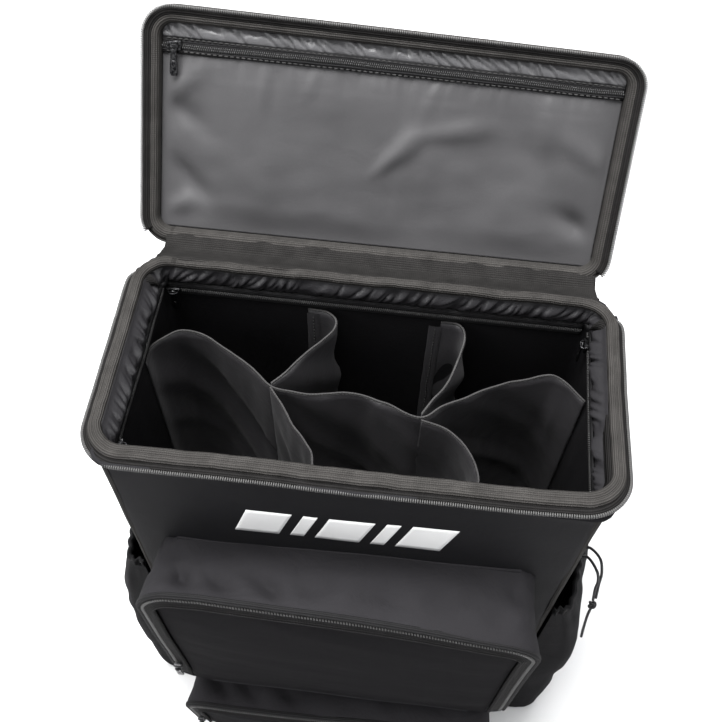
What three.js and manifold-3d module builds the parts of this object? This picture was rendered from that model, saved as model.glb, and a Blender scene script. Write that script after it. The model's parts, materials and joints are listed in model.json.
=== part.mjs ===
// Drum stick bag: a tall padded box with a zipped lid, six stick compartments,
// two zipped front pockets and a drawstring pouch on each side.
// Millimetres, +Z up, +Y towards the back, origin at the middle of the underside.
import * as THREE from "three";
import { mergeVertices } from "three/addons/utils/BufferGeometryUtils.js";
import Module from "manifold-3d";

const wasm = await Module();
wasm.setup();

// ---- Driving dimensions ----
const RIM_WIDTH = 360; // across the zip teeth of the mouth
const RIM_DEPTH = 174;
const HEIGHT = 530; // floor to the rim
const RIM_RADIUS = 20;
const GAP = 0.3; // left between pieces that touch
const WALL = 3; // padded fabric wall
const LINING = 1;
const TAPE = 1.4; // zip tape and folded binding

const BODY_HALF_X = RIM_WIDTH / 2 - 13;
const BODY_HALF_Y = RIM_DEPTH / 2 - 4;
const BASE_TOP = 2.4; // upper side of the base fabric
const BOARD_TOP = BASE_TOP + GAP + 3; // upper side of the base stiffener
const WALL_TOP = HEIGHT - 12;
const LINED_HALF_X = BODY_HALF_X - WALL - GAP - LINING;
const LINED_HALF_Y = BODY_HALF_Y - WALL - GAP - LINING;

const DIVIDER_THICK = 1.6;
const DIVIDER_TOP = HEIGHT - 38;
const DIVIDER_END_X = BODY_HALF_X - 12.5; // clear of the pulls on the inner zips
const DIVIDER_END_Y = BODY_HALF_Y - 12.5;
const INNER_ZIP_Z = HEIGHT - 30; // middle of the zips in the lining
const INNER_ZIP_TALL = 10;

const LID_HINGE_Y = 91;
const LID_HINGE_Z = HEIGHT - 11;
const LID_OPEN_DEG = 121.5; // turned back from closed
const LID_BOARD_Z = HEIGHT + 15; // underside of the lid board, closed
const LID_BOARD = 6;

const POCKET_HALF = 148; // front pockets, at their zips
const POCKET_SEAM_HALF = 139; // where they are sewn to the front
const POCKET_RADIUS = 28;
const HALF_CHAIN = 5.8; // one side of a zip: tape and half the coil
const UPPER_POCKET = { name: "upper_pocket", bottom: 172, top: 418, depthLow: 47, depthHigh: 60 };
const LOWER_POCKET = { name: "lower_pocket", bottom: 10, top: 146, depthLow: 54, depthHigh: 64 };

const POUCH_OUT = 206; // side pouches, from the middle of the bag
const POUCH_HALF_Y = 82;
const POUCH_TOP = 334;
const POUCH_RADIUS = 25;
const CORD_RADIUS = 1.2;

// ---- Materials ----
const finish = (color, roughness, metalness = 0) =>
  new THREE.MeshStandardMaterial({ color, roughness, metalness });
const outerFabric = finish(0x222225, 0.9);
const liningFabric = finish(0x2b2b2d, 0.75);
const sheenLining = finish(0x5c5c60, 0.5);
const bindingTape = finish(0x4a4846, 0.9);
const zipTape = finish(0x3a3938, 0.85);
const zipMetal = finish(0x1c1c1e, 0.4, 0.8);
const stiffBoard = finish(0x303033, 0.95);
const cordFabric = finish(0x161618, 0.85);

// ---- Geometry helpers ----
// Closed body from points and triangles, with its faces turned outwards.
function closedBody(points, triangles) {
  const [a, b, c] = [new THREE.Vector3(), new THREE.Vector3(), new THREE.Vector3()];
  let volume = 0;
  for (const [i, j, k] of triangles) {
    volume += a.fromArray(points[i]).dot(b.fromArray(points[j]).cross(c.fromArray(points[k])));
  }
  const faces = volume > 0 ? triangles : triangles.map(([i, j, k]) => [i, k, j]);
  const geometry = new THREE.BufferGeometry();
  geometry.setAttribute("position", new THREE.Float32BufferAttribute(points.flat(), 3));
  geometry.setIndex(faces.flat());
  geometry.computeVertexNormals();
  return geometry;
}

function box(sizeX, sizeY, sizeZ) {
  return new THREE.BoxGeometry(sizeX, sizeY, sizeZ);
}

// Rounded rectangle as a path with outward normals. An open one stops before its +y corners.
function roundedPath(halfX, halfY, radius, closed, steps = 5) {
  const corners = [
    [-1, -1, Math.PI],
    [1, -1, 1.5 * Math.PI],
    [1, 1, 0],
    [-1, 1, 0.5 * Math.PI],
  ];
  const path = [];
  const used = closed ? corners : corners.slice(0, 2);
  for (const [sideX, sideY, start] of used) {
    for (let i = 0; i <= steps; i++) {
      const angle = start + (i / steps) * (Math.PI / 2);
      path.push({
        x: sideX * (halfX - radius) + radius * Math.cos(angle),
        y: sideY * (halfY - radius) + radius * Math.sin(angle),
        nx: Math.cos(angle),
        ny: Math.sin(angle),
      });
    }
  }
  if (!closed) {
    path.unshift({ x: -halfX, y: halfY - radius, nx: -1, ny: 0 });
    path.push({ x: halfX, y: halfY - radius, nx: 1, ny: 0 });
  }
  return path;
}

// Sweeps a profile of [outward, z] points along a path; z may depend on the path's point.
function band(path, profile, closed) {
  const points = [];
  for (const p of path) {
    for (const [out, z] of profile) {
      points.push([p.x + p.nx * out, p.y + p.ny * out, typeof z === "function" ? z(p) : z]);
    }
  }
  const sides = profile.length;
  const triangles = [];
  const spans = closed ? path.length : path.length - 1;
  for (let i = 0; i < spans; i++) {
    const next = (i + 1) % path.length;
    for (let j = 0; j < sides; j++) {
      const k = (j + 1) % sides;
      const [a, b, c, d] = [i * sides + j, i * sides + k, next * sides + k, next * sides + j];
      triangles.push([a, b, c], [a, c, d]);
    }
  }
  if (!closed) {
    const last = (path.length - 1) * sides;
    for (let j = 1; j < sides - 1; j++) {
      triangles.push([0, j + 1, j], [last, last + j, last + j + 1]);
    }
  }
  return closedBody(points, triangles);
}

function roundedShape(halfX, lowY, highY, radius, lowRadius = radius) {
  const shape = new THREE.Shape();
  shape.moveTo(-halfX + lowRadius, lowY);
  shape.lineTo(halfX - lowRadius, lowY);
  shape.absarc(halfX - lowRadius, lowY + lowRadius, lowRadius, -Math.PI / 2, 0);
  shape.lineTo(halfX, highY - radius);
  shape.absarc(halfX - radius, highY - radius, radius, 0, Math.PI / 2);
  shape.lineTo(-halfX + radius, highY);
  shape.absarc(-halfX + radius, highY - radius, radius, Math.PI / 2, Math.PI);
  shape.lineTo(-halfX, lowY + lowRadius);
  shape.absarc(-halfX + lowRadius, lowY + lowRadius, lowRadius, Math.PI, 1.5 * Math.PI);
  return shape;
}

function extrude(shape, depth, curveSegments = 4) {
  return new THREE.ExtrudeGeometry(shape, { depth, curveSegments, bevelEnabled: false });
}

// Upright sheet that follows a line of plan points.
function uprightSheet(line, thick, height, steps) {
  const curve = new THREE.CatmullRomCurve3(line.map(([x, y]) => new THREE.Vector3(x, y, 0)));
  const left = [];
  const right = [];
  for (let i = 0; i <= steps; i++) {
    const at = curve.getPoint(i / steps);
    const along = curve.getTangent(i / steps);
    const side = new THREE.Vector2(-along.y, along.x).multiplyScalar(thick / 2);
    left.push(new THREE.Vector2(at.x + side.x, at.y + side.y));
    right.unshift(new THREE.Vector2(at.x - side.x, at.y - side.y));
  }
  return extrude(new THREE.Shape([...left, ...right]), height);
}

// Round cord along points, with flat ends.
function cordAlong(points, radius, steps) {
  const curve = new THREE.CatmullRomCurve3(points.map((p) => new THREE.Vector3(...p)));
  const section = new THREE.Shape();
  section.absarc(0, 0, radius, 0, 2 * Math.PI);
  return new THREE.ExtrudeGeometry(section, {
    extrudePath: curve,
    steps,
    curveSegments: 8,
    bevelEnabled: false,
  });
}

// Solid through level sections, each a ring of the same number of [x, y, z] points.
function loft(sections) {
  const count = sections[0].length;
  const points = sections.flat();
  const triangles = [];
  for (let i = 0; i < sections.length - 1; i++) {
    for (let j = 0; j < count; j++) {
      const k = (j + 1) % count;
      const [a, b, c, d] = [i * count + j, i * count + k, (i + 1) * count + k, (i + 1) * count + j];
      triangles.push([a, b, c], [a, c, d]);
    }
  }
  const top = (sections.length - 1) * count;
  for (let j = 1; j < count - 1; j++) {
    triangles.push([0, j + 1, j], [top, top + j, top + j + 1]);
  }
  return closedBody(points, triangles);
}

function toManifold(geometry) {
  const bare = geometry.clone();
  bare.deleteAttribute("normal");
  bare.deleteAttribute("uv");
  const merged = mergeVertices(bare, 1e-4);
  return new wasm.Manifold(
    new wasm.Mesh({
      numProp: 3,
      vertProperties: new Float32Array(merged.attributes.position.array),
      triVerts: new Uint32Array(merged.index.array),
    }),
  );
}

function fromManifold(solid) {
  const mesh = solid.getMesh();
  const geometry = new THREE.BufferGeometry();
  geometry.setAttribute("position", new THREE.BufferAttribute(mesh.vertProperties, 3));
  geometry.setIndex(new THREE.BufferAttribute(mesh.triVerts, 1));
  geometry.computeVertexNormals();
  return geometry;
}

function add(parent, name, geometry, material, [x, y, z] = [0, 0, 0]) {
  const mesh = new THREE.Mesh(geometry, material);
  mesh.name = name;
  mesh.position.set(x, y, z);
  parent.add(mesh);
  return mesh;
}

// ---- Body: walls, base, lining, corner seams ----
function addBody(bag) {
  const wallHigh = WALL_TOP - BASE_TOP - GAP;
  const wallZ = BASE_TOP + GAP + wallHigh / 2;
  const sideLong = 2 * (BODY_HALF_Y - WALL - GAP);
  add(bag, "base_panel", box(2 * BODY_HALF_X, 2 * BODY_HALF_Y, BASE_TOP), outerFabric, [0, 0, BASE_TOP / 2]);
  add(
    bag, "base_board",
    box(2 * (LINED_HALF_X - 2), 2 * (LINED_HALF_Y - 2), BOARD_TOP - BASE_TOP - GAP),
    stiffBoard, [0, 0, (BOARD_TOP + BASE_TOP + GAP) / 2],
  );
  for (const [name, side] of [["front", -1], ["back", 1]]) {
    add(bag, `${name}_panel`, box(2 * BODY_HALF_X, WALL, wallHigh), outerFabric,
      [0, side * (BODY_HALF_Y - WALL / 2), wallZ]);
  }
  const lined = roundedPath(LINED_HALF_X + LINING, LINED_HALF_Y + LINING, 4, true, 2);
  const cloth = [[0, wallZ - wallHigh / 2], [0, WALL_TOP], [-LINING, WALL_TOP], [-LINING, wallZ - wallHigh / 2]];
  add(bag, "body_lining", band(lined, cloth, true), liningFabric);
  for (const [name, side] of [["left", -1], ["right", 1]]) {
    add(bag, `${name}_panel`, box(WALL, sideLong, wallHigh), outerFabric,
      [side * (BODY_HALF_X - WALL / 2), 0, wallZ]);
    add(bag, `corner_binding_${name}`, box(8, TAPE, WALL_TOP - 10), bindingTape,
      [side * (BODY_HALF_X - 4), -BODY_HALF_Y - GAP - TAPE / 2, WALL_TOP / 2]);
  }
}

// ---- Mouth: half a zip on three sides, its coil outermost, folded binding all round ----
function addRim(bag) {
  const halfX = RIM_WIDTH / 2;
  const halfY = RIM_DEPTH / 2;
  const zipped = roundedPath(halfX, halfY, RIM_RADIUS, false);
  const around = roundedPath(halfX, halfY, RIM_RADIUS, true);
  const tape = [
    [-17, WALL_TOP + 2], [-2, HEIGHT - 4.4], [0, HEIGHT - 4.4], [0, HEIGHT - 1.8],
    [-2, HEIGHT - 1.8], [-2, HEIGHT - 3.1], [-17, WALL_TOP + 3.4],
  ];
  const fold = [[-18, WALL_TOP + 4], [-8, HEIGHT - 3.4], [-8, HEIGHT], [-17.4, HEIGHT - 3]];
  add(bag, "rim_zip_tape", band(zipped, tape, false), zipTape);
  add(bag, "rim_binding", band(around, fold, true), bindingTape);
  add(bag, "hinge_tape", box(2 * (BODY_HALF_X - 4), 10, 8), bindingTape,
    [0, BODY_HALF_Y + GAP + 5, LID_HINGE_Z]);
}

// ---- Zip slider with a pull that turns on the slider's post ----
// Local frame: the chain runs along x, the tape's face is z = 0, the pull hangs towards -y.
function zipPull(parent, name, place, turn) {
  const shield = new THREE.Shape();
  shield.moveTo(-5.5, -2.2);
  shield.lineTo(1, -3.8);
  shield.lineTo(5.5, -3.8);
  shield.lineTo(5.5, 3.8);
  shield.lineTo(1, 3.8);
  shield.lineTo(-5.5, 2.2);
  const body = extrude(shield, 3.2).translate(0, 0, GAP);
  const post = new THREE.CylinderGeometry(1.1, 1.1, 3.4, 8).rotateX(Math.PI / 2).translate(0, 0, 4.4);
  const cap = new THREE.CylinderGeometry(2.3, 2.3, 0.8, 8).rotateX(Math.PI / 2).translate(0, 0, 6.1);
  const slider = fromManifold(toManifold(body).add(toManifold(post)).add(toManifold(cap)));

  const tab = new THREE.Shape();
  tab.moveTo(-2, -21);
  tab.lineTo(2, -21);
  tab.lineTo(3, -18);
  tab.lineTo(2.8, 0);
  tab.absarc(0, 0, 2.8, 0, Math.PI);
  tab.lineTo(-3, -18);
  const eye = new THREE.Path();
  eye.absarc(0, 0, 1.6, 0, 2 * Math.PI, true);
  tab.holes.push(eye);
  const pull = extrude(tab, 1.3);

  const group = new THREE.Group();
  const [x, y, z] = place.at;
  const along = new THREE.Vector3(...place.along).normalize();
  const normal = new THREE.Vector3(...place.normal).normalize();
  const across = new THREE.Vector3().crossVectors(normal, along);
  group.setRotationFromMatrix(new THREE.Matrix4().makeBasis(along, across, normal));
  group.position.set(x, y, z);
  add(group, `${name}_slider`, slider, zipMetal);
  const hung = add(group, `${name}_pull`, pull, zipMetal, [0, 0, 4]);
  hung.rotation.z = turn;
  parent.add(group);
}

// ---- Zips in the lining, below the mouth ----
function addInnerZips(bag) {
  const inset = 1.2;
  const back = 2 * (LINED_HALF_X - 6);
  add(bag, "inner_zip_back", box(back, inset, INNER_ZIP_TALL), zipTape,
    [0, LINED_HALF_Y - GAP - inset / 2, INNER_ZIP_Z]);
  zipPull(bag, "inner_zip_back", {
    at: [-LINED_HALF_X + 10, LINED_HALF_Y - GAP - inset, INNER_ZIP_Z],
    along: [1, 0, 0],
    normal: [0, -1, 0],
  }, 0);
  for (const [name, side, startY] of [["left", -1, -62], ["right", 1, 62]]) {
    add(bag, `inner_zip_${name}`, box(inset, 146, INNER_ZIP_TALL), zipTape,
      [side * (LINED_HALF_X - GAP - inset / 2), 0, INNER_ZIP_Z + 2]);
    zipPull(bag, `inner_zip_${name}`, {
      at: [side * (LINED_HALF_X - GAP - inset), startY, INNER_ZIP_Z + 2],
      along: [0, -side, 0],
      normal: [-side, 0, 0],
    }, 0);
  }
}

// ---- Dividers: one long sheet from side to side, four short ones sewn to it ----
function addDividers(bag) {
  const leftJoin = [-68, 6];
  const rightJoin = [43, -7];
  const clear = 2.4; // between a short sheet and the long one
  const high = DIVIDER_TOP - BOARD_TOP - GAP;
  const stand = [0, 0, BOARD_TOP + GAP];
  const long = [
    [-DIVIDER_END_X, 22], [-144, 44], [-122, 44], [-96, 28], leftJoin, [-36, 2], [-4, 4],
    rightJoin, [79, 16], [101, 30], [128, 38], [DIVIDER_END_X, 24],
  ];
  add(bag, "long_divider", uprightSheet(long, DIVIDER_THICK, high, 22), liningFabric, stand);
  const short = {
    back_left: [[leftJoin[0] + clear, leftJoin[1] + clear], [-44, 38], [-28, 58], [-36, DIVIDER_END_Y]],
    back_right: [[rightJoin[0] + 2, rightJoin[1] + clear + 1], [64, 33], [71, 58], [60, DIVIDER_END_Y]],
    front_left: [[leftJoin[0] + 1, leftJoin[1] - clear - 1], [-49, -22], [-32, -48], [-28, -LINED_HALF_Y + 2]],
    front_right: [[rightJoin[0] + 1, rightJoin[1] - clear], [69, -18], [85, -46], [82, -LINED_HALF_Y + 2]],
  };
  for (const [name, line] of Object.entries(short)) {
    add(bag, `cross_divider_${name}`, uprightSheet(line, DIVIDER_THICK, high, 7), liningFabric, stand);
  }
}

// ---- Front pockets: gusset sewn to the front, flap panel zipped on three sides ----
function addPocket(bag, pocket) {
  const half = (pocket.top - pocket.bottom) / 2;
  const middle = pocket.bottom + half;
  const depthAt = (z) =>
    pocket.depthLow + ((z - pocket.bottom) / (2 * half)) * (pocket.depthHigh - pocket.depthLow);
  // Built lying down: local y is height from the pocket's middle, local z is out from the front.
  const upright = new THREE.Group();
  upright.rotation.x = Math.PI / 2;
  upright.position.set(0, -BODY_HALF_Y - GAP, middle);
  bag.add(upright);

  const gussetWall = 2;
  const seamIn = POCKET_HALF - POCKET_SEAM_HALF;
  const outline = roundedPath(POCKET_HALF, half, POCKET_RADIUS, true, 4);
  const front = (p) => depthAt(middle + p.y);
  const gusset = [[-seamIn, 0], [0, front], [-gussetWall, front], [-seamIn - gussetWall, 0]];
  add(upright, `${pocket.name}_gusset`, band(outline, gusset, true), outerFabric);

  // The zip runs up one side, across the top and down the other, so its path is open below.
  const chain = roundedPath(POCKET_HALF, half, POCKET_RADIUS, false, 5);
  const zipped = chain.map((p) => ({ ...p, y: -p.y, ny: -p.ny }));
  const over = (lift) => (p) => depthAt(middle + p.y) + lift;
  const halfChain = (from) => [
    [from, over(GAP)], [from - HALF_CHAIN, over(GAP)],
    [from - HALF_CHAIN, over(GAP + TAPE)], [from, over(GAP + TAPE)],
  ];
  add(upright, `${pocket.name}_zip_outer`, band(zipped, halfChain(-0.4), false), zipTape);
  add(upright, `${pocket.name}_zip_inner`, band(zipped, halfChain(-HALF_CHAIN - 0.8), false), zipTape);

  // Flap panel in the leaning front plane, hinged along its lower edge.
  const lean = Math.atan2(pocket.depthHigh - pocket.depthLow, 2 * half);
  const inset = 2 * HALF_CHAIN + 1.4;
  const flap = new THREE.Group();
  flap.position.set(0, -BODY_HALF_Y - GAP - pocket.depthLow, pocket.bottom);
  flap.rotation.x = Math.PI / 2 + lean;
  bag.add(flap);
  const panelHalf = POCKET_HALF - inset;
  const panelTop = (2 * half - inset) / Math.cos(lean);
  const panel = roundedShape(panelHalf, 3, panelTop, POCKET_RADIUS - inset, 12);
  add(flap, `${pocket.name}_panel`, extrude(panel, 1.7), outerFabric, [0, 0, GAP]);
  const runX = -POCKET_HALF + HALF_CHAIN + 0.6;
  zipPull(flap, `${pocket.name}_zip`, {
    at: [runX, pocket.sliderUp, GAP + TAPE],
    along: [0, 1, 0],
    normal: [0, 0, 1],
  }, -Math.PI / 2);
}

// ---- Side pouches: soft bag sewn to the side panel, gathered by a hem with a cord ----
function pouchOutline(side, out, halfY, inner, z) {
  const radius = POUCH_RADIUS;
  const ring = [[side * inner, -halfY, z]];
  for (const [endY, start] of [[-1, -Math.PI / 2], [1, 0]]) {
    for (let i = 0; i <= 4; i++) {
      const angle = start + (i / 4) * (Math.PI / 2);
      ring.push([
        side * (out - radius + radius * Math.cos(angle)),
        endY * (halfY - radius) + radius * Math.sin(angle),
        z,
      ]);
    }
  }
  ring.push([side * inner, halfY, z]);
  return ring;
}

function addPouch(bag, name, side) {
  const skin = 2;
  const inner = BODY_HALF_X + GAP;
  const levels = [[14, -8], [60, 0], [150, 0], [250, -1], [300, -4], [POUCH_TOP, -12]];
  const outside = levels.map(([z, bulge]) => pouchOutline(side, POUCH_OUT + bulge, POUCH_HALF_Y, inner, z));
  const hollow = levels.map(([z, bulge], i) => {
    const level = i === 0 ? z + skin : i === levels.length - 1 ? z + 5 : z;
    return pouchOutline(side, POUCH_OUT + bulge - skin, POUCH_HALF_Y - skin, inner - 5, level);
  });
  const shell = toManifold(loft(outside)).subtract(toManifold(loft(hollow)));
  add(bag, `${name}_pouch`, fromManifold(shell), outerFabric);

  const rim = pouchOutline(side, POUCH_OUT - 12, POUCH_HALF_Y, inner, 0);
  const hemPath = rim.map(([x, y], i) => {
    const [ax, ay] = rim[Math.max(i - 1, 0)];
    const [bx, by] = rim[Math.min(i + 1, rim.length - 1)];
    const long = Math.hypot(bx - ax, by - ay);
    return { x, y, nx: (side * (by - ay)) / long, ny: (-side * (bx - ax)) / long };
  });
  const low = POUCH_TOP + GAP;
  const hem = [[-4, low], [0, low], [1, low + 4], [0, low + 9], [-4, low + 9], [-5, low + 4]];
  add(bag, `${name}_pouch_hem`, band(hemPath, hem, false), bindingTape);
}

// ---- Drawcord of the right pouch: two strands out of the hem, a knot, two tails ----
function addDrawcord(bag) {
  const knot = [208, -59, 291];
  const strands = {
    drawcord_strand_front: [
      [196.6, -36, 339], [199, -41, 349], [204, -50, 346], [207, -52, 330], [207, -53, 312], [207.6, -57, 297],
    ],
    drawcord_strand_back: [
      [196.6, -29, 339], [200, -33, 351], [206, -41, 350], [209.5, -46, 333], [210, -49, 313], [209.8, -55, 298],
    ],
    drawcord_tail_long: [[208, -60.4, 285.4], [208.4, -62, 270], [208.6, -67, 255], [208.8, -72, 243]],
    drawcord_tail_short: [[210, -63.2, 287], [212, -66, 281], [214.5, -70, 278.5]],
  };
  for (const [name, points] of Object.entries(strands)) {
    add(bag, name, cordAlong(points, CORD_RADIUS, 4 * points.length), cordFabric);
  }
  add(bag, "drawcord_knot", new THREE.SphereGeometry(4.2, 10, 6), cordFabric, knot);
}

// ---- Grab handle on the back: a webbing loop between two sewn patches ----
function addHandle(bag) {
  const outY = BODY_HALF_Y + GAP;
  const line = [[-92, outY + 1.2], [-66, outY + 3], [-40, outY + 26], [0, outY + 34]];
  const mirrored = line.slice(0, -1).reverse().map(([x, y]) => [-x, y]);
  add(bag, "back_handle_strap", uprightSheet([...line, ...mirrored], 2, 25, 20), bindingTape, [0, 0, 415]);
}

// ---- Lid, built closed and turned back about the hinge ----
function addLid(bag) {
  const lid = new THREE.Group();
  lid.position.set(0, LID_HINGE_Y, LID_HINGE_Z);
  lid.rotation.x = -THREE.MathUtils.degToRad(LID_OPEN_DEG);
  bag.add(lid);
  const closed = new THREE.Group();
  closed.position.set(0, -LID_HINGE_Y, -LID_HINGE_Z);
  lid.add(closed);

  const halfX = RIM_WIDTH / 2 - 2;
  const halfY = RIM_DEPTH / 2 - 1;
  const low = HEIGHT + 1.2;
  const zipped = roundedPath(halfX, halfY, RIM_RADIUS, false);
  const around = roundedPath(halfX, halfY, RIM_RADIUS, true);
  const tape = [
    [-2, low], [0, low], [0, low + 2.6], [-2, low + 2.6],
    [-9.5, LID_BOARD_Z - 2.4], [-10.6, LID_BOARD_Z - 3.6],
  ];
  const fold = [
    [-1, low + 4.4], [0, low + 6], [-4, LID_BOARD_Z + 3], [-6.4, LID_BOARD_Z + 3], [-6.4, LID_BOARD_Z - 1.6],
  ];
  add(closed, "lid_zip_tape", band(zipped, tape, false), zipTape);
  add(closed, "lid_binding", band(around, fold, true), bindingTape);
  const board = roundedShape(halfX - 7, -halfY + 7, halfY - 7, RIM_RADIUS - 7);
  add(closed, "lid_panel", extrude(board, LID_BOARD), outerFabric, [0, 0, LID_BOARD_Z]);

  // Inside face: crinkled strip at the front edge, its zip, then the pocket sheet to the hinge.
  const face = LID_BOARD_Z - GAP;
  const edgeX = halfX - 12;
  const edgeY = halfY - 12;
  const stripDeep = 9;
  const zipDeep = 10;
  const pocketDeep = 2 * edgeY - stripDeep - zipDeep - 2 * GAP;
  const stripY = -edgeY + stripDeep / 2;
  const zipY = -edgeY + stripDeep + GAP + zipDeep / 2;
  const pocketY = edgeY - pocketDeep / 2;
  add(closed, "lid_lining_strip", box(2 * edgeX, stripDeep, LINING), sheenLining, [0, stripY, face - LINING / 2]);
  add(closed, "lid_inner_zip", box(2 * edgeX, zipDeep, 1.2), zipTape, [0, zipY, face - 0.6]);
  add(closed, "lid_pocket_sheet", box(2 * edgeX, pocketDeep, LINING), sheenLining,
    [0, pocketY, face - LINING / 2]);
  zipPull(closed, "lid_inner_zip", {
    at: [-edgeX + 9, zipY, face - 1.2],
    along: [1, 0, 0],
    normal: [0, 0, -1],
  }, 0);
}

// ---- Main zip: a slider under the tape at the hinge end of each side run ----
function addMainSliders(bag) {
  for (const [name, side] of [["left", -1], ["right", 1]]) {
    zipPull(bag, `main_zip_${name}`, {
      at: [side * (RIM_WIDTH / 2 - 4), 58, HEIGHT - 6.6],
      along: [0, 1, 0],
      normal: [0, 0, -1],
    }, Math.PI / 2);
  }
}

// ---- The whole bag ----
const bag = new THREE.Group();
addBody(bag);
addRim(bag);
addInnerZips(bag);
addDividers(bag);
addPocket(bag, { ...UPPER_POCKET, sliderUp: 62 });
addPocket(bag, { ...LOWER_POCKET, sliderUp: 45 });
addPouch(bag, "left", -1);
addPouch(bag, "right", 1);
addDrawcord(bag);
addHandle(bag);
addLid(bag);
addMainSliders(bag);

export default bag;
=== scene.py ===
# Drum stick bag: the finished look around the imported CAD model. Metres, +Z up,
# +Y towards the back, origin at the middle of the bag's underside.
import json
import math
import bpy
import numpy as np
from mathutils import Matrix, Vector, noise


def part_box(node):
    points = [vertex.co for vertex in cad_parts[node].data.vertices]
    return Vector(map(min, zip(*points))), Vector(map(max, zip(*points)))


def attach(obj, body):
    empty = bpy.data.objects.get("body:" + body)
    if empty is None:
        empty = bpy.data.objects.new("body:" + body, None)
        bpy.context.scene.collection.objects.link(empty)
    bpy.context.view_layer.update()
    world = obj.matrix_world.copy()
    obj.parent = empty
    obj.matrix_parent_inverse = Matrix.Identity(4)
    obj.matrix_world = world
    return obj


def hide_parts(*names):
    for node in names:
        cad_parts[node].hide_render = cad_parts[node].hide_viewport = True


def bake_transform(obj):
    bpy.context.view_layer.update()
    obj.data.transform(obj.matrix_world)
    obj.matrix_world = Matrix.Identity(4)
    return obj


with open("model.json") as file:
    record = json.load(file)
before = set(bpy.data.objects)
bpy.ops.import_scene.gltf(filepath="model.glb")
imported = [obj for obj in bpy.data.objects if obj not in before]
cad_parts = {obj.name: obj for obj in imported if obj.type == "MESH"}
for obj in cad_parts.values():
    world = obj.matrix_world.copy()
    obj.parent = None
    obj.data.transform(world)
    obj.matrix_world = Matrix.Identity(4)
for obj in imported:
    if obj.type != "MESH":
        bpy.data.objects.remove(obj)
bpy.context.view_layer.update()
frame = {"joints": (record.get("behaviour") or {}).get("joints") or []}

# ---------------------------------------------------------------- camera, light and floor
# A product shot from above and in front of the open bag: one large soft light from the
# left, a weaker one from the right, a top light, and a pale seamless floor.
camera_data = bpy.data.cameras.new("camera")
camera_data.lens = 47.45
camera_data.sensor_width = 36
camera_data.clip_start = 0.01
camera = bpy.data.objects.new("camera", camera_data)
bpy.context.scene.collection.objects.link(camera)
turned = Matrix.Rotation(math.radians(5.0), 4, "Z")
tilted = Matrix.Rotation(math.radians(90 - 57.48), 4, "X")
rolled = Matrix.Rotation(math.radians(1.79), 4, "Z")
camera.matrix_world = Matrix.Translation((0.0285, -0.3421, 1.0842)) @ turned @ tilted @ rolled
bpy.context.scene.camera = camera


def soft_light(name, place, target, size, power):
    data = bpy.data.lights.new(name, "AREA")
    data.shape = "SQUARE"
    data.size = size
    data.energy = power
    lamp = bpy.data.objects.new(name, data)
    bpy.context.scene.collection.objects.link(lamp)
    lamp.location = place
    lamp.rotation_euler = (Vector(target) - Vector(place)).to_track_quat("-Z", "Y").to_euler()


soft_light("left_softbox", (-1.5, -1.1, 1.7), (0, 0, 0.35), 1.4, 30)
soft_light("right_softbox", (1.7, -0.7, 1.3), (0, 0, 0.3), 1.2, 15)
soft_light("top_softbox", (-0.25, 0.15, 2.3), (0, 0, 0.4), 1.2, 150)

world = bpy.data.worlds.new("studio")
world.use_nodes = True
world.node_tree.nodes["Background"].inputs["Color"].default_value = (0.93, 0.95, 1.0, 1)
world.node_tree.nodes["Background"].inputs["Strength"].default_value = 0.5
bpy.context.scene.world = world
bpy.context.scene.view_settings.view_transform = "Standard"


def plain_material(name, color, roughness):
    material = bpy.data.materials.new(name)
    material.use_nodes = True
    shader = material.node_tree.nodes["Principled BSDF"]
    shader.inputs["Base Color"].default_value = (*color, 1)
    shader.inputs["Roughness"].default_value = roughness
    return material


floor_mesh = bpy.data.meshes.new("floor")
floor_mesh.from_pydata([(-6, -6, 0), (6, -6, 0), (6, 6, 0), (-6, 6, 0)], [], [(0, 1, 2, 3)])
floor = bpy.data.objects.new("floor", floor_mesh)
bpy.context.scene.collection.objects.link(floor)
floor_mesh.materials.append(plain_material("pale_floor", (0.62, 0.62, 0.62), 0.8))


# ---------------------------------------------------------------- shader effects shared by the cloths
# Each is a node group: the thread weave of cloth, the ribs of binding tape, and the
# uneven shade that handled fabric takes on.
def new_group(name, inputs, outputs):
    group = bpy.data.node_groups.new(name, "ShaderNodeTree")
    for label, kind, value in inputs:
        socket = group.interface.new_socket(label, in_out="INPUT", socket_type=kind)
        socket.default_value = value
    for label, kind in outputs:
        group.interface.new_socket(label, in_out="OUTPUT", socket_type=kind)
    group.nodes.new("NodeGroupInput")
    group.nodes.new("NodeGroupOutput")
    return group


def node(tree, kind, links=(), **settings):
    made = tree.nodes.new(kind)
    for key, value in settings.items():
        setattr(made, key, value)
    for socket, source in dict(links).items():
        if isinstance(source, bpy.types.NodeSocket):
            tree.links.new(source, made.inputs[socket])
        else:
            made.inputs[socket].default_value = source
    return made


def math_node(tree, operation, a, b=0.0, c=0.0):
    return node(tree, "ShaderNodeMath", {0: a, 1: b, 2: c}, operation=operation).outputs[0]


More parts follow.
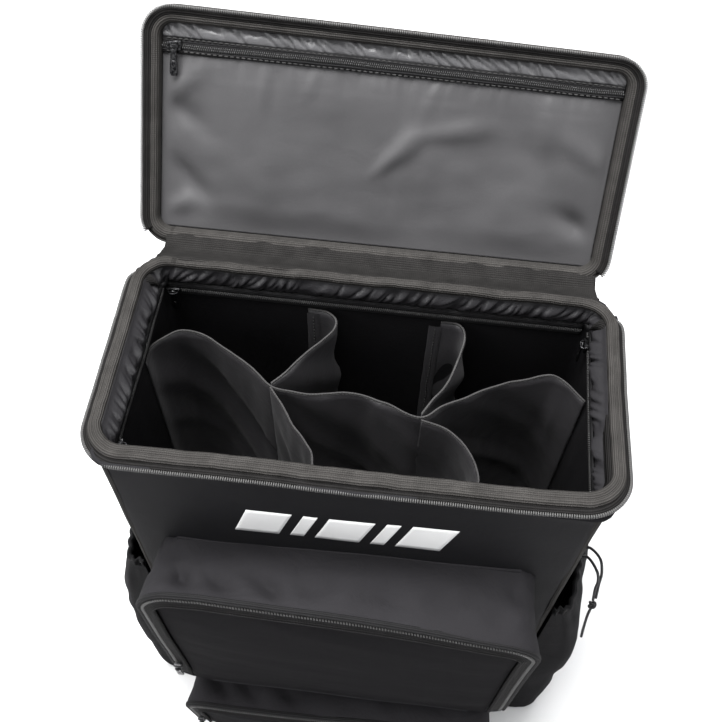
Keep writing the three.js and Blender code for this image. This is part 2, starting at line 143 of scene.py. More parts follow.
def weave_group():
    """Plain weave from object coordinates, mixed between the three planes by the face's direction."""
    group = new_group(
        "weave",
        [("Threads per metre", "NodeSocketFloat", 1600.0)],
        [("Height", "NodeSocketFloat")],
    )
    source = group.nodes["Group Input"].outputs[0]
    place = node(group, "ShaderNodeTexCoord").outputs["Object"]
    split = node(group, "ShaderNodeSeparateXYZ", {0: place})
    surface = node(group, "ShaderNodeNewGeometry").outputs["Normal"]
    facing = node(group, "ShaderNodeSeparateXYZ", {0: surface})
    turn = math_node(group, "MULTIPLY", source, math.pi)
    waves = [math_node(group, "SINE", math_node(group, "MULTIPLY", split.outputs[i], turn))
             for i in range(3)]
    total = None
    for first, second, normal in ((1, 2, 0), (0, 2, 1), (0, 1, 2)):
        checker = math_node(group, "MULTIPLY", waves[first], waves[second])
        share = math_node(group, "POWER", math_node(group, "ABSOLUTE", facing.outputs[normal]), 4.0)
        part = math_node(group, "MULTIPLY", checker, share)
        total = part if total is None else math_node(group, "ADD", total, part)
    group.links.new(total, group.nodes["Group Output"].inputs["Height"])
    return group


def shade_group():
    """Slow and fine mottling that lightens and darkens a colour a little."""
    group = new_group(
        "uneven_shade",
        [("Color", "NodeSocketColor", (0.5, 0.5, 0.5, 1)), ("Amount", "NodeSocketFloat", 0.3),
         ("Patch size", "NodeSocketFloat", 0.05)],
        [("Color", "NodeSocketColor"), ("Mask", "NodeSocketFloat")],
    )
    inputs = group.nodes["Group Input"].outputs
    place = node(group, "ShaderNodeTexCoord").outputs["Object"]
    scale = math_node(group, "DIVIDE", 1.0, inputs["Patch size"])
    slow = node(group, "ShaderNodeTexNoise", {"Vector": place, "Scale": scale, "Detail": 3.0})
    fine = node(group, "ShaderNodeTexNoise", {"Vector": place, "Scale": 900.0, "Detail": 1.0})
    mixed = math_node(group, "ADD", math_node(group, "MULTIPLY", slow.outputs["Fac"], 0.65),
                      math_node(group, "MULTIPLY", fine.outputs["Fac"], 0.35))
    centred = math_node(group, "SUBTRACT", mixed, 0.5)
    swing = math_node(group, "MULTIPLY", centred, inputs["Amount"])
    gain = math_node(group, "MULTIPLY_ADD", swing, 2.0, 1.0)
    tint = node(group, "ShaderNodeVectorMath", {0: inputs["Color"]}, operation="SCALE")
    group.links.new(gain, tint.inputs["Scale"])
    group.links.new(tint.outputs[0], group.nodes["Group Output"].inputs["Color"])
    group.links.new(mixed, group.nodes["Group Output"].inputs["Mask"])
    return group


def rib_group():
    """Ribs across a tape, from the "along" and "across" lengths stored on the strip's mesh."""
    group = new_group(
        "tape_ribs",
        [("Rib pitch", "NodeSocketFloat", 0.0009), ("Cord pitch", "NodeSocketFloat", 0.0017)],
        [("Height", "NodeSocketFloat")],
    )
    inputs = group.nodes["Group Input"].outputs
    along = node(group, "ShaderNodeAttribute", attribute_name="along").outputs["Fac"]
    across = node(group, "ShaderNodeAttribute", attribute_name="across").outputs["Fac"]
    waves = []
    for length, pitch, share in ((along, "Rib pitch", 0.3), (across, "Cord pitch", 0.7)):
        turns = math_node(group, "DIVIDE", math_node(group, "MULTIPLY", length, 2 * math.pi), inputs[pitch])
        waves.append(math_node(group, "MULTIPLY", math_node(group, "SINE", turns), share))
    total = math_node(group, "ADD", *waves)
    group.links.new(total, group.nodes["Group Output"].inputs["Height"])
    return group


WEAVE = weave_group()
SHADE = shade_group()
RIBS = rib_group()


def cloth_material(name, color, roughness, patch=0.05, unevenness=0.35, threads=1400.0, weave_bump=0.25,
                   crease_bump=0.0, crease_size=0.01, sheen=0.0, gloss=0.08, ribbed=False, rib_pitch=0.0012):
    """Fabric: mottled colour, thread weave or tape ribs with painted shade in the ribs' furrows, and optional
    small creases in the bump.
    """
    material = bpy.data.materials.new(name)
    material.use_nodes = True
    tree = material.node_tree
    shader = tree.nodes["Principled BSDF"]
    shade = node(tree, "ShaderNodeGroup", node_tree=SHADE)
    shade.inputs["Color"].default_value = (*color, 1)
    shade.inputs["Amount"].default_value = unevenness
    shade.inputs["Patch size"].default_value = patch
    tree.links.new(shade.outputs["Color"], shader.inputs["Base Color"])
    rough = node(tree, "ShaderNodeMapRange", {"Value": shade.outputs["Mask"], "To Min": roughness - 0.06,
                                              "To Max": roughness + 0.06})
    tree.links.new(rough.outputs[0], shader.inputs["Roughness"])
    shader.inputs["Sheen Weight"].default_value = sheen
    shader.inputs["Sheen Roughness"].default_value = 0.45
    shader.inputs["Specular IOR Level"].default_value = gloss
    if ribbed:
        height = node(tree, "ShaderNodeGroup", node_tree=RIBS)
        height.inputs["Rib pitch"].default_value = rib_pitch
        # painted shade: the colour is darkened to 45 % in the furrows between the ribs, standing in for the
        # shadow there
        furrow = node(tree, "ShaderNodeMapRange", {"Value": height.outputs["Height"], "From Min": -0.9,
                                                   "From Max": 0.3, "To Min": 0.45, "To Max": 1.0})
        painted_rib_shade = node(tree, "ShaderNodeVectorMath", {0: shade.outputs["Color"]}, operation="SCALE")
        tree.links.new(furrow.outputs[0], painted_rib_shade.inputs["Scale"])
        tree.links.new(painted_rib_shade.outputs[0], shader.inputs["Base Color"])
    else:
        height = node(tree, "ShaderNodeGroup", node_tree=WEAVE)
        height.inputs["Threads per metre"].default_value = threads
    bump = node(tree, "ShaderNodeBump", {"Height": height.outputs["Height"], "Strength": weave_bump,
                                         "Distance": 0.0003})
    if crease_bump:
        place = node(tree, "ShaderNodeTexCoord").outputs["Object"]
        crease = node(tree, "ShaderNodeTexNoise", {"Vector": place, "Scale": 1 / crease_size, "Detail": 4.0,
                                                   "Roughness": 0.6, "Distortion": 0.6})
        ridge = math_node(tree, "ABSOLUTE", math_node(tree, "SUBTRACT", crease.outputs["Fac"], 0.5))
        creased = node(tree, "ShaderNodeBump", {"Height": ridge, "Strength": crease_bump,
                                                "Distance": crease_size * 0.35})
        tree.links.new(creased.outputs[0], bump.inputs["Normal"])
    tree.links.new(bump.outputs[0], shader.inputs["Normal"])
    return material


# ---------------------------------------------------------------- body shell
# Padded walls of near-black woven polyester round a box 334 by 166 mm, sewn to the
# mouth above and to the base below. The cloth bulges a little between its seams.
outer_black = cloth_material("outer_black", (0.0120, 0.0118, 0.0128), 0.66, patch=0.09, unevenness=0.3,
                             threads=1700.0, weave_bump=0.5, crease_bump=0.12, crease_size=0.03, gloss=0.04)


def add_object(name, data):
    made = bpy.data.objects.new(name, data)
    bpy.context.scene.collection.objects.link(made)
    return made


def mesh_piece(name, points, faces, material, body, slot, nodes=(), smooth=True):
    """Mesh object in the shared frame, on its body, hiding the CAD nodes it stands for. The slot argument is
    not used.
    """
    mesh = bpy.data.meshes.new(name)
    mesh.from_pydata([tuple(p) for p in points], [], faces)
    mesh.update()
    mesh.polygons.foreach_set("use_smooth", [smooth] * len(mesh.polygons))
    mesh.materials.append(material)
    piece = add_object(name, mesh)
    if body:
        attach(piece, body)
    if nodes:
        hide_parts(*nodes)
    return piece


def grid_faces(rows, columns, wrap_rows=False, wrap_columns=False):
    """Quads of a grid of points stored row after row."""
    faces = []
    for i in range(rows if wrap_rows else rows - 1):
        for j in range(columns if wrap_columns else columns - 1):
            a, b = i * columns + j, i * columns + (j + 1) % columns
            c, d = (i + 1) % rows * columns + (j + 1) % columns, (i + 1) % rows * columns + j
            faces.append((a, b, c, d))
    return faces


def thicken(piece, thick, offset=-1.0):
    """Gives a sheet its cloth thickness; offset -1 grows it away from the faces' outer side."""
    layer = piece.modifiers.new("thickness", "SOLIDIFY")
    layer.thickness = thick
    layer.offset = offset
    layer.use_even_offset = False
    return piece


def ripple(points, size, seed=0.0):
    """Smooth noise from -1 to 1 at each point, with hills about size metres apart."""
    return np.array([noise.noise(Vector((x / size + seed, y / size, z / size - seed))) for x, y, z in points])


def rounded_path(half_x, half_y, radius, spacing, closed=True):
    """Points, outward normals and running length round a rounded rectangle in plan.
    It starts at the back left, goes along the left side to the front, and back along the right side;
    an open path leaves out the back side and its corners."""
    turns = [(-1, 1, math.pi / 2), (-1, -1, math.pi), (1, -1, 1.5 * math.pi), (1, 1, 0.0)]
    points, normals = [], []

    def corner(side_x, side_y, start):
        count = max(4, int(radius * math.pi / 2 / spacing * 1.5))
        for i in range(count + 1):
            angle = start + i / count * math.pi / 2
            points.append((side_x * (half_x - radius) + radius * math.cos(angle),
                           side_y * (half_y - radius) + radius * math.sin(angle)))
            normals.append((math.cos(angle), math.sin(angle)))

    def run(start, end, normal):
        dx, dy = end[0] - start[0], end[1] - start[1]
        count = max(2, int(math.hypot(dx, dy) / spacing))
        for i in range(1, count):
            points.append((start[0] + dx * (i / count), start[1] + dy * (i / count)))
            normals.append(normal)

    inner_x, inner_y = half_x - radius, half_y - radius
    if closed:
        corner(*turns[0])
    else:
        points.append((-half_x, inner_y))
        normals.append((-1.0, 0.0))
    run((-half_x, inner_y), (-half_x, -inner_y), (-1.0, 0.0))
    corner(*turns[1])
    run((-inner_x, -half_y), (inner_x, -half_y), (0.0, -1.0))
    corner(*turns[2])
    run((half_x, -inner_y), (half_x, inner_y), (1.0, 0.0))
    if closed:
        corner(*turns[3])
        run((inner_x, half_y), (-inner_x, half_y), (0.0, 1.0))
    else:
        points.append((half_x, inner_y))
        normals.append((1.0, 0.0))
    points = np.array(points)
    steps = np.linalg.norm(np.diff(points, axis=0), axis=1)
    return points, np.array(normals), np.concatenate([[0.0], np.cumsum(steps)])


body_low, body_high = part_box("front_panel")
BODY_X, BODY_Y = body_high.x, -body_low.y
WALL_HIGH = body_high.z
RIM_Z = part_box("rim_zip_tape")[1].z + 0.0018
BODY_CORNER = 0.009
WALL_THICK, WALL_FOOT, WALL_ROWS = 0.0028, 0.002, 92
WALL_TURN_UP = 0.0062  # the cloth runs on past its sewn edge, behind the binding
WALL_CROWN = 0.0035
FLARE_FROM, FLARE_TALL, FLARE_OUT = 0.508, 0.016, 0.0055  # the top edge stands out to meet the zip


def wall_surface(x, y, z, normal_x, normal_y):
    """Place on the outside of the padded wall: a soft crown between the seams, with slow waves."""
    across = x / BODY_X if abs(normal_y) > 0.5 else y / BODY_Y
    crown = WALL_CROWN * max(0.0, 1 - across ** 4) * math.sin(math.pi * min(1.0, z / WALL_HIGH)) ** 0.6
    wave = (0.0016 * noise.noise(Vector((x / 0.11 + 3.1, y / 0.11, z / 0.11)))
            + 0.0006 * noise.noise(Vector((x / 0.035 + 7.7, y / 0.035, z / 0.035))))
    flare = FLARE_OUT * min(1.0, max(0.0, (z - FLARE_FROM) / FLARE_TALL)) ** 2
    out = crown + wave * min(1.0, max(0.0, (z - WALL_FOOT) / 0.03)) + flare
    return (x + normal_x * out, y + normal_y * out, z)


def body_wall():
    plan, normals, _ = rounded_path(BODY_X, BODY_Y, BODY_CORNER, 0.006)
    heights = np.linspace(WALL_FOOT, WALL_HIGH + WALL_TURN_UP, WALL_ROWS)
    points = [wall_surface(x, y, z, nx, ny) for z in heights for (x, y), (nx, ny) in zip(plan, normals)]
    return points, grid_faces(len(heights), len(plan), wrap_columns=True)


shell = mesh_piece("body_shell", *body_wall(), outer_black, "bag", "outer_fabric",
                   ["front_panel", "back_panel", "left_panel", "right_panel"])
thicken(shell, WALL_THICK)


# ---------------------------------------------------------------- mouth: binding and half a zip
# The top of the walls is finished with ribbed tape folded over the edge, all round. Half of a coil zip, size
# 5, is sewn outside it on the front and the two sides.
binding_grey = cloth_material("binding_grey", (0.034, 0.0322, 0.0305), 0.85, patch=0.012, unevenness=0.7,
                              weave_bump=0.9, ribbed=True, rib_pitch=0.0014, gloss=0.06)
tape_grey = cloth_material("tape_grey", (0.0125, 0.0120, 0.0118), 0.85, patch=0.012, unevenness=0.6,
                           weave_bump=0.8, ribbed=True, rib_pitch=0.0011, gloss=0.02)
coil_grey = cloth_material("coil_grey", (0.060, 0.059, 0.058), 0.42, patch=0.006, unevenness=0.3,
                           threads=3000.0, weave_bump=0.1, gloss=0.3)
TOOTH_PITCH = 0.0015


def strip_along(plan, lengths, outward, upward, profile, closed):
    """Points, faces and stored lengths of a strip whose profile of (out, up) follows a line."""
    points, along, across = [], [], []
    cross = [0.0]
    for (a, b), (c, d) in zip(profile, profile[1:]):
        cross.append(cross[-1] + math.hypot(c - a, d - b))
    for place, length, out, up in zip(plan, lengths, outward, upward):
        for (o, h), reach in zip(profile, cross):
            points.append(place + out * o + up * h)
            along.append(length)
            across.append(reach)
    faces = grid_faces(len(plan), len(profile), wrap_rows=closed)
    return np.array(points), faces, along, across


def store_lengths(piece, along, across):
    for name, values in (("along", along), ("across", across)):
        layer = piece.data.attributes.new(name, "FLOAT", "POINT")
        layer.data.foreach_set("value", values)


def arc_profile(centre, radius_out, radius_up, start, end, steps):
    """Part of an ellipse as profile points, angles in degrees."""
    return [(centre[0] + radius_out * math.cos(math.radians(a)),
             centre[1] + radius_up * math.sin(math.radians(a))) for a in np.linspace(start, end, steps)]


def teeth_mesh(line, outward, upward, rows, long, wide, high, pitch=TOOTH_PITCH):
    """Coil teeth as small rounded blocks along a line. rows are (sideways shift, step shift) pairs."""
    line = np.array(line, float)
    steps = np.linalg.norm(np.diff(line, axis=0), axis=1)
    run = np.concatenate([[0.0], np.cumsum(steps)])
    block = np.array([(-0.5, -0.5, -0.4), (0.5, -0.5, -0.4), (0.5, 0.5, -0.4), (-0.5, 0.5, -0.4),
                      (-0.34, -0.36, 0.5), (0.34, -0.36, 0.5), (0.34, 0.36, 0.5), (-0.34, 0.36, 0.5)])
    sides = [(0, 3, 2, 1), (4, 5, 6, 7), (0, 1, 5, 4), (1, 2, 6, 5), (2, 3, 7, 6), (3, 0, 4, 7)]
    points, faces = [], []
    for sideways, shift in rows:
        places = np.arange(shift * pitch, run[-1], pitch)
        at = np.stack([np.interp(places, run, line[:, i]) for i in range(3)], 1)
        out = np.stack([np.interp(places, run, outward[:, i]) for i in range(3)], 1)
        up = np.stack([np.interp(places, run, upward[:, i]) for i in range(3)], 1)
        out /= np.linalg.norm(out, axis=1)[:, None]
        up /= np.linalg.norm(up, axis=1)[:, None]
        forward = np.cross(up, out)
        for p, o, u, f in zip(at, out, up, forward):
            base = len(points)
            for a, b, c in block:
                points.append(p + o * (sideways + b * wide) + f * (a * long) + u * (c * high))
            faces += [tuple(base + k for k in side) for side in sides]
    return points, faces


rim_low, rim_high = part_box("rim_zip_tape")
RIM_X, RIM_Y = rim_high.x, -rim_low.y
RIM_CORNER = 0.029
ZIP_DROP = 0.0042  # the zip's tape lies this far under the folded binding
ZIP_END = 0.62  # the zip stops where the corner has turned this far to the back
TUCK_LONG, TUCK_IN, TUCK_DOWN = 0.014, 0.0060, 0.0012  # its ends are sewn in under the hinge tape
TAPE_THICK, FOLD_THICK = 0.0009, 0.0008


def rim_height(x, y):
    """Lift of the mouth's edge: slow and quick waves, and a rise at the right front corner."""
    corner = 0.0062 * math.exp(-((x - 0.172) / 0.05) ** 2 - ((y + 0.082) / 0.06) ** 2)
    slow = 0.0016 * noise.noise(Vector((x / 0.07, y / 0.07, 0.3)))
    quick = 0.0007 * noise.noise(Vector((x / 0.02, y / 0.02, 5)))
    return corner + slow + quick


def rim_line(drop=0.0):
    """Line round the mouth's edge with its lengths and its outward and upward directions."""
    plan, normals, lengths = rounded_path(RIM_X, RIM_Y, RIM_CORNER, 0.0035)
    line = np.array([(x, y, RIM_Z - drop + rim_height(x, y)) for x, y in plan])
    out = np.hstack([normals, np.zeros((len(normals), 1))])
    up = np.tile((0.0, 0.0, 1.0), (len(line), 1))
    return line, lengths, out, up


line, lengths, out, up = rim_line(ZIP_DROP)
sewn = out[:, 1] < ZIP_END
line, lengths, out, up = line[sewn], lengths[sewn] - lengths[sewn][0], out[sewn], up[sewn]
tuck = np.maximum(0.0, 1 - np.minimum(lengths, lengths[-1] - lengths) / TUCK_LONG)
line = line - out * (TUCK_IN * tuck ** 2)[:, None] - up * (TUCK_DOWN * tuck ** 2)[:, None]
rim_tape_profile = [(-0.0150, -0.0062), (-0.0120, -0.0010), (-0.0090, 0.0006), (-0.0055, 0.0008),
                    (-0.0020, -0.0002), (0.0, -0.0014)]
points, faces, along, across = strip_along(line, lengths, out, up, rim_tape_profile, closed=False)
rim_tape = mesh_piece("mouth_zip_tape", points, faces, tape_grey, "bag", "zip_tape", ["rim_zip_tape"])
store_lengths(rim_tape, along, across)
thicken(rim_tape, TAPE_THICK, 0.0)
points, faces = teeth_mesh(line + out * 0.0006 + up * -0.0010, out, up, [(0, 0)],
                           long=0.0010, wide=0.0026, high=0.0019)
mesh_piece("mouth_zip_teeth", points, faces, coil_grey, "bag", "zip_tape")


def mouth_width(normal_y):
    """Share of the fold's full width: widest along the front, narrowest at the hinge."""
    return 0.66 + 0.18 * max(0.0, -normal_y) - 0.14 * max(0.0, normal_y)


line, lengths, out, up = rim_line()
fold_profile = [(-0.0058, -0.0040), (-0.0062, -0.0018), (-0.0072, -0.0006), (-0.0090, 0.0000),
                (-0.0105, -0.0007), (-0.0120, -0.0002), (-0.0140, 0.0002), (-0.0160, -0.0004),
                (-0.0171, -0.0018), (-0.0174, -0.0044)]
out = out * np.array([mouth_width(n[1]) for n in out])[:, None]
points, faces, along, across = strip_along(line, lengths, out, up, fold_profile, closed=True)
points[:, 2] += 0.0010 * ripple(points, 0.018, 4.9) + 0.0006 * ripple(points, 0.007, 1.2)
binding = mesh_piece("mouth_binding", points, faces, binding_grey, "bag", "binding_tape", ["rim_binding"])
store_lengths(binding, along, across)
thicken(binding, FOLD_THICK)


# ---------------------------------------------------------------- base and corner seams
# The floor of the bag is a stiff board covered with the lining cloth, over a flat outer
# base. The front corners are bound with a rolled ribbed tape from the mouth to the base.
lining_black = cloth_material("lining_black", (0.0050, 0.0048, 0.0053), 0.42, patch=0.05, unevenness=0.3,
                              threads=2400.0, weave_bump=0.15, crease_bump=0.10, crease_size=0.02,
                              gloss=0.22)


def rounded_grid(half_x, half_y, radius, columns, rows):
    """Points in plan of a rectangular grid whose four corners are rounded, and its faces."""
    points = []
    for v in np.linspace(-1, 1, rows):
        for u in np.linspace(-1, 1, columns):
            x, y = half_x * u, half_y * v
            a, b = (abs(x) - half_x + radius) / radius, (abs(y) - half_y + radius) / radius
            if a > 0 and b > 0:
                x = math.copysign(half_x - radius + radius * a * math.sqrt(1 - b * b / 2), x)
                y = math.copysign(half_y - radius + radius * b * math.sqrt(1 - a * a / 2), y)
            points.append((x, y))
    return points, grid_faces(rows, columns)


plan, faces = rounded_grid(BODY_X - 0.0005, BODY_Y - 0.0005, BODY_CORNER, 60, 30)
points = [(x, y, 0.0023 - 0.0004 * abs(noise.noise(Vector((x / 0.05, y / 0.05, 2))))) for x, y in plan]
base = mesh_piece("base_cloth", points, faces, outer_black, "bag", "outer_fabric", ["base_panel"])
thicken(base, 0.0019)
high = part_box("base_board")[1]
plan, faces = rounded_grid(high.x, high.y, 0.004, 80, 40)
points = [(x, y, high.z + 0.0006 + 0.0008 * noise.noise(Vector((x / 0.04, y / 0.04, 9)))) for x, y in plan]
board = mesh_piece("base_board_cover", points, faces, lining_black, "bag", "stiff_board", ["base_board"])
thicken(board, 0.0028)


def bead(name, line, outward, sideways, material, body, slot, nodes=(), *, wide, high):
    """Rolled tape sewn flat along a line: half an ellipse in section, closed underneath."""
    profile = [(-wide / 2, 0.0)] + arc_profile((0.0, 0.0), wide / 2, high, 172, 8, 9) + [(wide / 2, 0.0)]
    line = np.array(line, float)
    outward, sideways = np.array(outward, float), np.array(sideways, float)
    steps = np.concatenate([[0.0], np.cumsum(np.linalg.norm(np.diff(line, axis=0), axis=1))])
    if outward.ndim == 1:
        outward, sideways = np.tile(outward, (len(line), 1)), np.tile(sideways, (len(line), 1))
    points, faces, along, across = strip_along(line, steps, sideways, outward, profile, closed=False)
    piece = mesh_piece(name, points, faces, material, body, slot, nodes)
    store_lengths(piece, along, across)
    return piece


SEAM_LOW, SEAM_HIGH = 0.006, 0.5125
SEAM_TURN = math.radians(45)  # the seam faces outwards from the middle of the rounded corner
SEAM_OUT = BODY_CORNER * math.sin(SEAM_TURN)
for side, name in ((-1, "left"), (1, "right")):
    line = []
    for z in np.linspace(SEAM_LOW, SEAM_HIGH, 150):
        waver = 0.0008 * noise.noise(Vector((z / 0.05, side, 0)))
        line.append((side * (BODY_X - BODY_CORNER + SEAM_OUT - 0.0006 + waver),
                     -(BODY_Y - BODY_CORNER + SEAM_OUT - 0.0004), z))
    bead(f"corner_seam_{name}", line, (side * math.sin(SEAM_TURN), -math.cos(SEAM_TURN), 0),
         (math.cos(SEAM_TURN), side * math.sin(SEAM_TURN), 0), binding_grey, "bag", "binding_tape",
         [f"corner_binding_{name}"], wide=0.0072, high=0.0022)


# ---------------------------------------------------------------- lining of the body
# Thin smooth lining cloth on the inside of the walls. A narrow strip of a shinier black
# cloth is gathered under the mouth, so it puckers along its seam.
strip_dark = cloth_material("strip_dark", (0.0135, 0.0130, 0.0141), 0.36, patch=0.02, unevenness=0.3,
                            threads=2600.0, weave_bump=0.12, crease_bump=0.35, crease_size=0.005, gloss=0.3)
lining_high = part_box("body_lining")[1]
LINED_X, LINED_Y = lining_high.x - 0.001, lining_high.y - 0.001
LINING_LOW, LINING_HIGH = 0.0062, 0.5065
STRIP_LOW, STRIP_HIGH, STRIP_FULLNESS = 0.5080, 0.5275, 1.10


def lining_wall(low, high, rows, spacing, depth):
    """Closed wall of cloth inside the body; depth(length, z, normal_y) moves it inwards."""
    plan, normals, lengths = rounded_path(LINED_X, LINED_Y, 0.006, spacing)
    points = []
    for z in np.linspace(low, high, rows):
        for (x, y), (nx, ny), length in zip(plan, normals, lengths):
            inwards = depth(length, z, ny)
            points.append((x - nx * inwards, y - ny * inwards, z))
    faces = [tuple(reversed(face)) for face in grid_faces(rows, len(plan), wrap_columns=True)]
    return points, faces


def lining_folds(length, z, normal_y):
    """Slow upright folds, deeper half way up than at the seams."""
    free = math.sin(math.pi * min(1.0, max(0.0, z / 0.50)))
    fold = noise.noise(Vector((length / 0.035, z / 0.22, 1.7)))
    small = 0.0006 * noise.noise(Vector((length / 0.012, z / 0.06, 4)))
    return 0.0004 + 0.0022 * free * (0.5 + 0.5 * fold) + small


points, faces = lining_wall(LINING_LOW, LINING_HIGH, 70, 0.006, lining_folds)
lining = mesh_piece("body_lining_cloth", points, faces, lining_black, "bag", "lining_fabric", ["body_lining"])
thicken(lining, 0.0008)


def furrows(u, v, seed):
    """Narrow sharp valleys between broad swells, from 1 on a swell to -1 in a valley."""
    return min(1.0, 7.0 * abs(noise.noise(Vector((u, v, seed)))) - 1.0)


def mouth_puckers(length, z, normal_y):
    """Close slanting gathers that open downwards from the sewn top edge."""
    rise = (z - 0.5090) / 0.0150
    slant = length / 0.0052 + 2.2 * rise + 1.6 * noise.noise(Vector((length / 0.03, 0, 8)))
    crease = 0.35 * math.sin(slant * 2.1) + 1.2 * furrows(slant * 0.8, rise * 0.6, 3)
    belly = math.sin(math.pi * min(1.0, max(0.0, rise))) ** 0.7
    flare = (0.0030 + 0.0036 * (1 - abs(normal_y))) * max(0.0, (z - 0.516) / 0.0115)
    held = 1 - min(1.0, max(0.0, rise)) ** 4
    return 0.0012 + 0.0016 * belly + 0.0015 * held * crease * (0.35 + 0.65 * belly) - flare


points, faces = lining_wall(STRIP_LOW, STRIP_HIGH, 15, 0.0011, mouth_puckers)
strip = mesh_piece("mouth_lining_strip", points, faces, strip_dark, "bag", "lining_fabric")
thicken(strip, 0.0005)


# ---------------------------------------------------------------- zips of the lining pockets
# Slim coil zips, closed from end to end: two ribbed tapes with the coils meshed between
# them, sewn to the lining on the back and both sides just under the mouth.
coil_dark = cloth_material("coil_dark", (0.024, 0.0235, 0.0235), 0.35, patch=0.006, unevenness=0.25,
                           threads=3000.0, weave_bump=0.1, gloss=0.4)
tape_black = cloth_material("tape_black", (0.0115, 0.0113, 0.0118), 0.75, patch=0.01, unevenness=0.4,
                            weave_bump=0.8, ribbed=True, rib_pitch=0.0011)
INNER_ZIP_WIDE, ZIP_WAVE = 0.0140, 0.0006


def closed_zip(name, start, end, outward, wide, body, nodes, place=lambda p: p):
    """Zip that is shut: a tape from start to end with two meshed rows of coil on its face."""
    start, end, outward = Vector(start), Vector(end), Vector(outward).normalized()
    forward = (end - start).normalized()
    sideways = outward.cross(forward)
    count = int((end - start).length / 0.003)
    line, lengths = [], []
    for i in range(count + 1):
        at = start.lerp(end, i / count)
        shift = ZIP_WAVE * noise.noise(at / 0.03 + Vector((5, 1, 2))) + 2 * ZIP_WAVE * noise.noise(at / 0.09)
        line.append(at + sideways * shift + outward * 0.6 * shift)
        lengths.append((at - start).length)
    half = wide / 2
    profile = [(-half, 0.0), (-half * 0.6, 0.0004), (-0.0022, 0.0005), (-0.0015, 0.0001)]
    profile += [(-across, up) for across, up in reversed(profile)]
    line = np.array([tuple(p) for p in line])
    out = np.tile(tuple(outward), (len(line), 1))
    side = np.tile(tuple(sideways), (len(line), 1))
    points, faces, along, across = strip_along(line, lengths, side, out, profile, closed=False)
    tape = mesh_piece(name, [place(p) for p in points], faces, tape_black, body, "zip_tape", nodes)
    store_lengths(tape, along, across)
    thicken(tape, 0.0007, 0.0)
    points, faces = teeth_mesh(line + out * 0.0010, side, out, [(-0.0008, 0), (0.0008, 0.5)],
                               long=0.0009, wide=0.0017, high=0.0014)
    mesh_piece(name + "_coil", [place(p) for p in points], faces, coil_dark, body, "zip_tape")


low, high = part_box("inner_zip_back")
middle = (low.z + high.z) / 2
closed_zip("inner_zip_back_tape", (low.x, low.y, middle), (high.x, low.y, middle), (0, -1, 0),
           INNER_ZIP_WIDE, "bag", ["inner_zip_back"])
for side, name in ((-1, "left"), (1, "right")):
    low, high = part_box(f"inner_zip_{name}")
    middle = (low.z + high.z) / 2
    face = low.x if side > 0 else high.x
    closed_zip(f"inner_zip_{name}_tape", (face, high.y, middle), (face, low.y, middle), (-side, 0, 0),
               INNER_ZIP_WIDE, "bag", [f"inner_zip_{name}"])


# ---------------------------------------------------------------- dividers
# Single sheets of soft lining cloth that stand by their sewn ends. One long sheet runs from
# side to side; four short ones join it to the front and the back. Their tops are overlocked.
DIVIDER_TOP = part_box("long_divider")[1].z
DIVIDER_FOOT, DIVIDER_ROWS = 0.0075, 56
DIVIDER_THICK = 0.0011
divider_black = cloth_material("divider_black", (0.0190, 0.0180, 0.0197), 0.38, patch=0.04, unevenness=0.3,
                               threads=2600.0, weave_bump=0.12, crease_bump=0.16, crease_size=0.016,
                               sheen=0.03, gloss=0.8)
overlock_grey = cloth_material("overlock_grey", (0.038, 0.037, 0.037), 0.8, patch=0.008, unevenness=0.5,
                               weave_bump=1.0, ribbed=True, rib_pitch=0.0022)
divider_plans = {
    "long": [(-0.1615, 0.014), (-0.159, 0.030), (-0.144, 0.045), (-0.122, 0.044), (-0.102, 0.032),
             (-0.085, 0.020), (-0.068, 0.006), (-0.053, 0.004), (-0.036, 0.003), (-0.004, 0.007),
             (0.017, 0.000), (0.043, -0.007), (0.060, 0.005), (0.079, 0.016), (0.101, 0.030), (0.120, 0.036),
             (0.136, 0.039), (0.149, 0.033), (0.1605, 0.021)],
    "back_left": [(-0.0672, 0.0078), (-0.056, 0.022), (-0.044, 0.038), (-0.035, 0.049), (-0.027, 0.060),
                  (-0.0265, 0.070), (-0.034, 0.0765), (-0.050, 0.0778)],
    "back_right": [(0.0438, -0.0045), (0.055, 0.015), (0.064, 0.033), (0.0695, 0.049), (0.0712, 0.064),
                   (0.066, 0.0755), (0.052, 0.0778)],
    "front_left": [(-0.0672, 0.0038), (-0.058, -0.008), (-0.049, -0.022), (-0.041, -0.031), (-0.036, -0.038),
                   (-0.030, -0.047), (-0.0275, -0.062), (-0.029, -0.0775)],
    "front_right": [(0.0438, -0.0092), (0.058, -0.0125), (0.069, -0.018), (0.080, -0.031), (0.085, -0.046),
                    (0.084, -0.058), (0.080, -0.0775)],
}


def smooth_line(points, steps):
    """Catmull-Rom line through the points, as a list of evenly counted places."""
    fixed = [Vector(p) for p in points]
    fixed = [2 * fixed[0] - fixed[1], *fixed, 2 * fixed[-1] - fixed[-2]]
    line = []
    for i in range(1, len(fixed) - 2):
        a, b, c, d = fixed[i - 1:i + 3]
        for k in range(steps):
            t = k / steps
            line.append(0.5 * (2 * b + (c - a) * t + (2 * a - 5 * b + 4 * c - d) * t * t
                               + (3 * b - a - 3 * c + d) * t ** 3))
    line.append(fixed[-2])
    return line


def divider_top(length, seed):
    """The free top edge hangs a little lower in places than its sewn ends."""
    return DIVIDER_TOP - 0.0008 - 0.003 * abs(noise.noise(Vector((length / 0.06, seed, 0.5))))


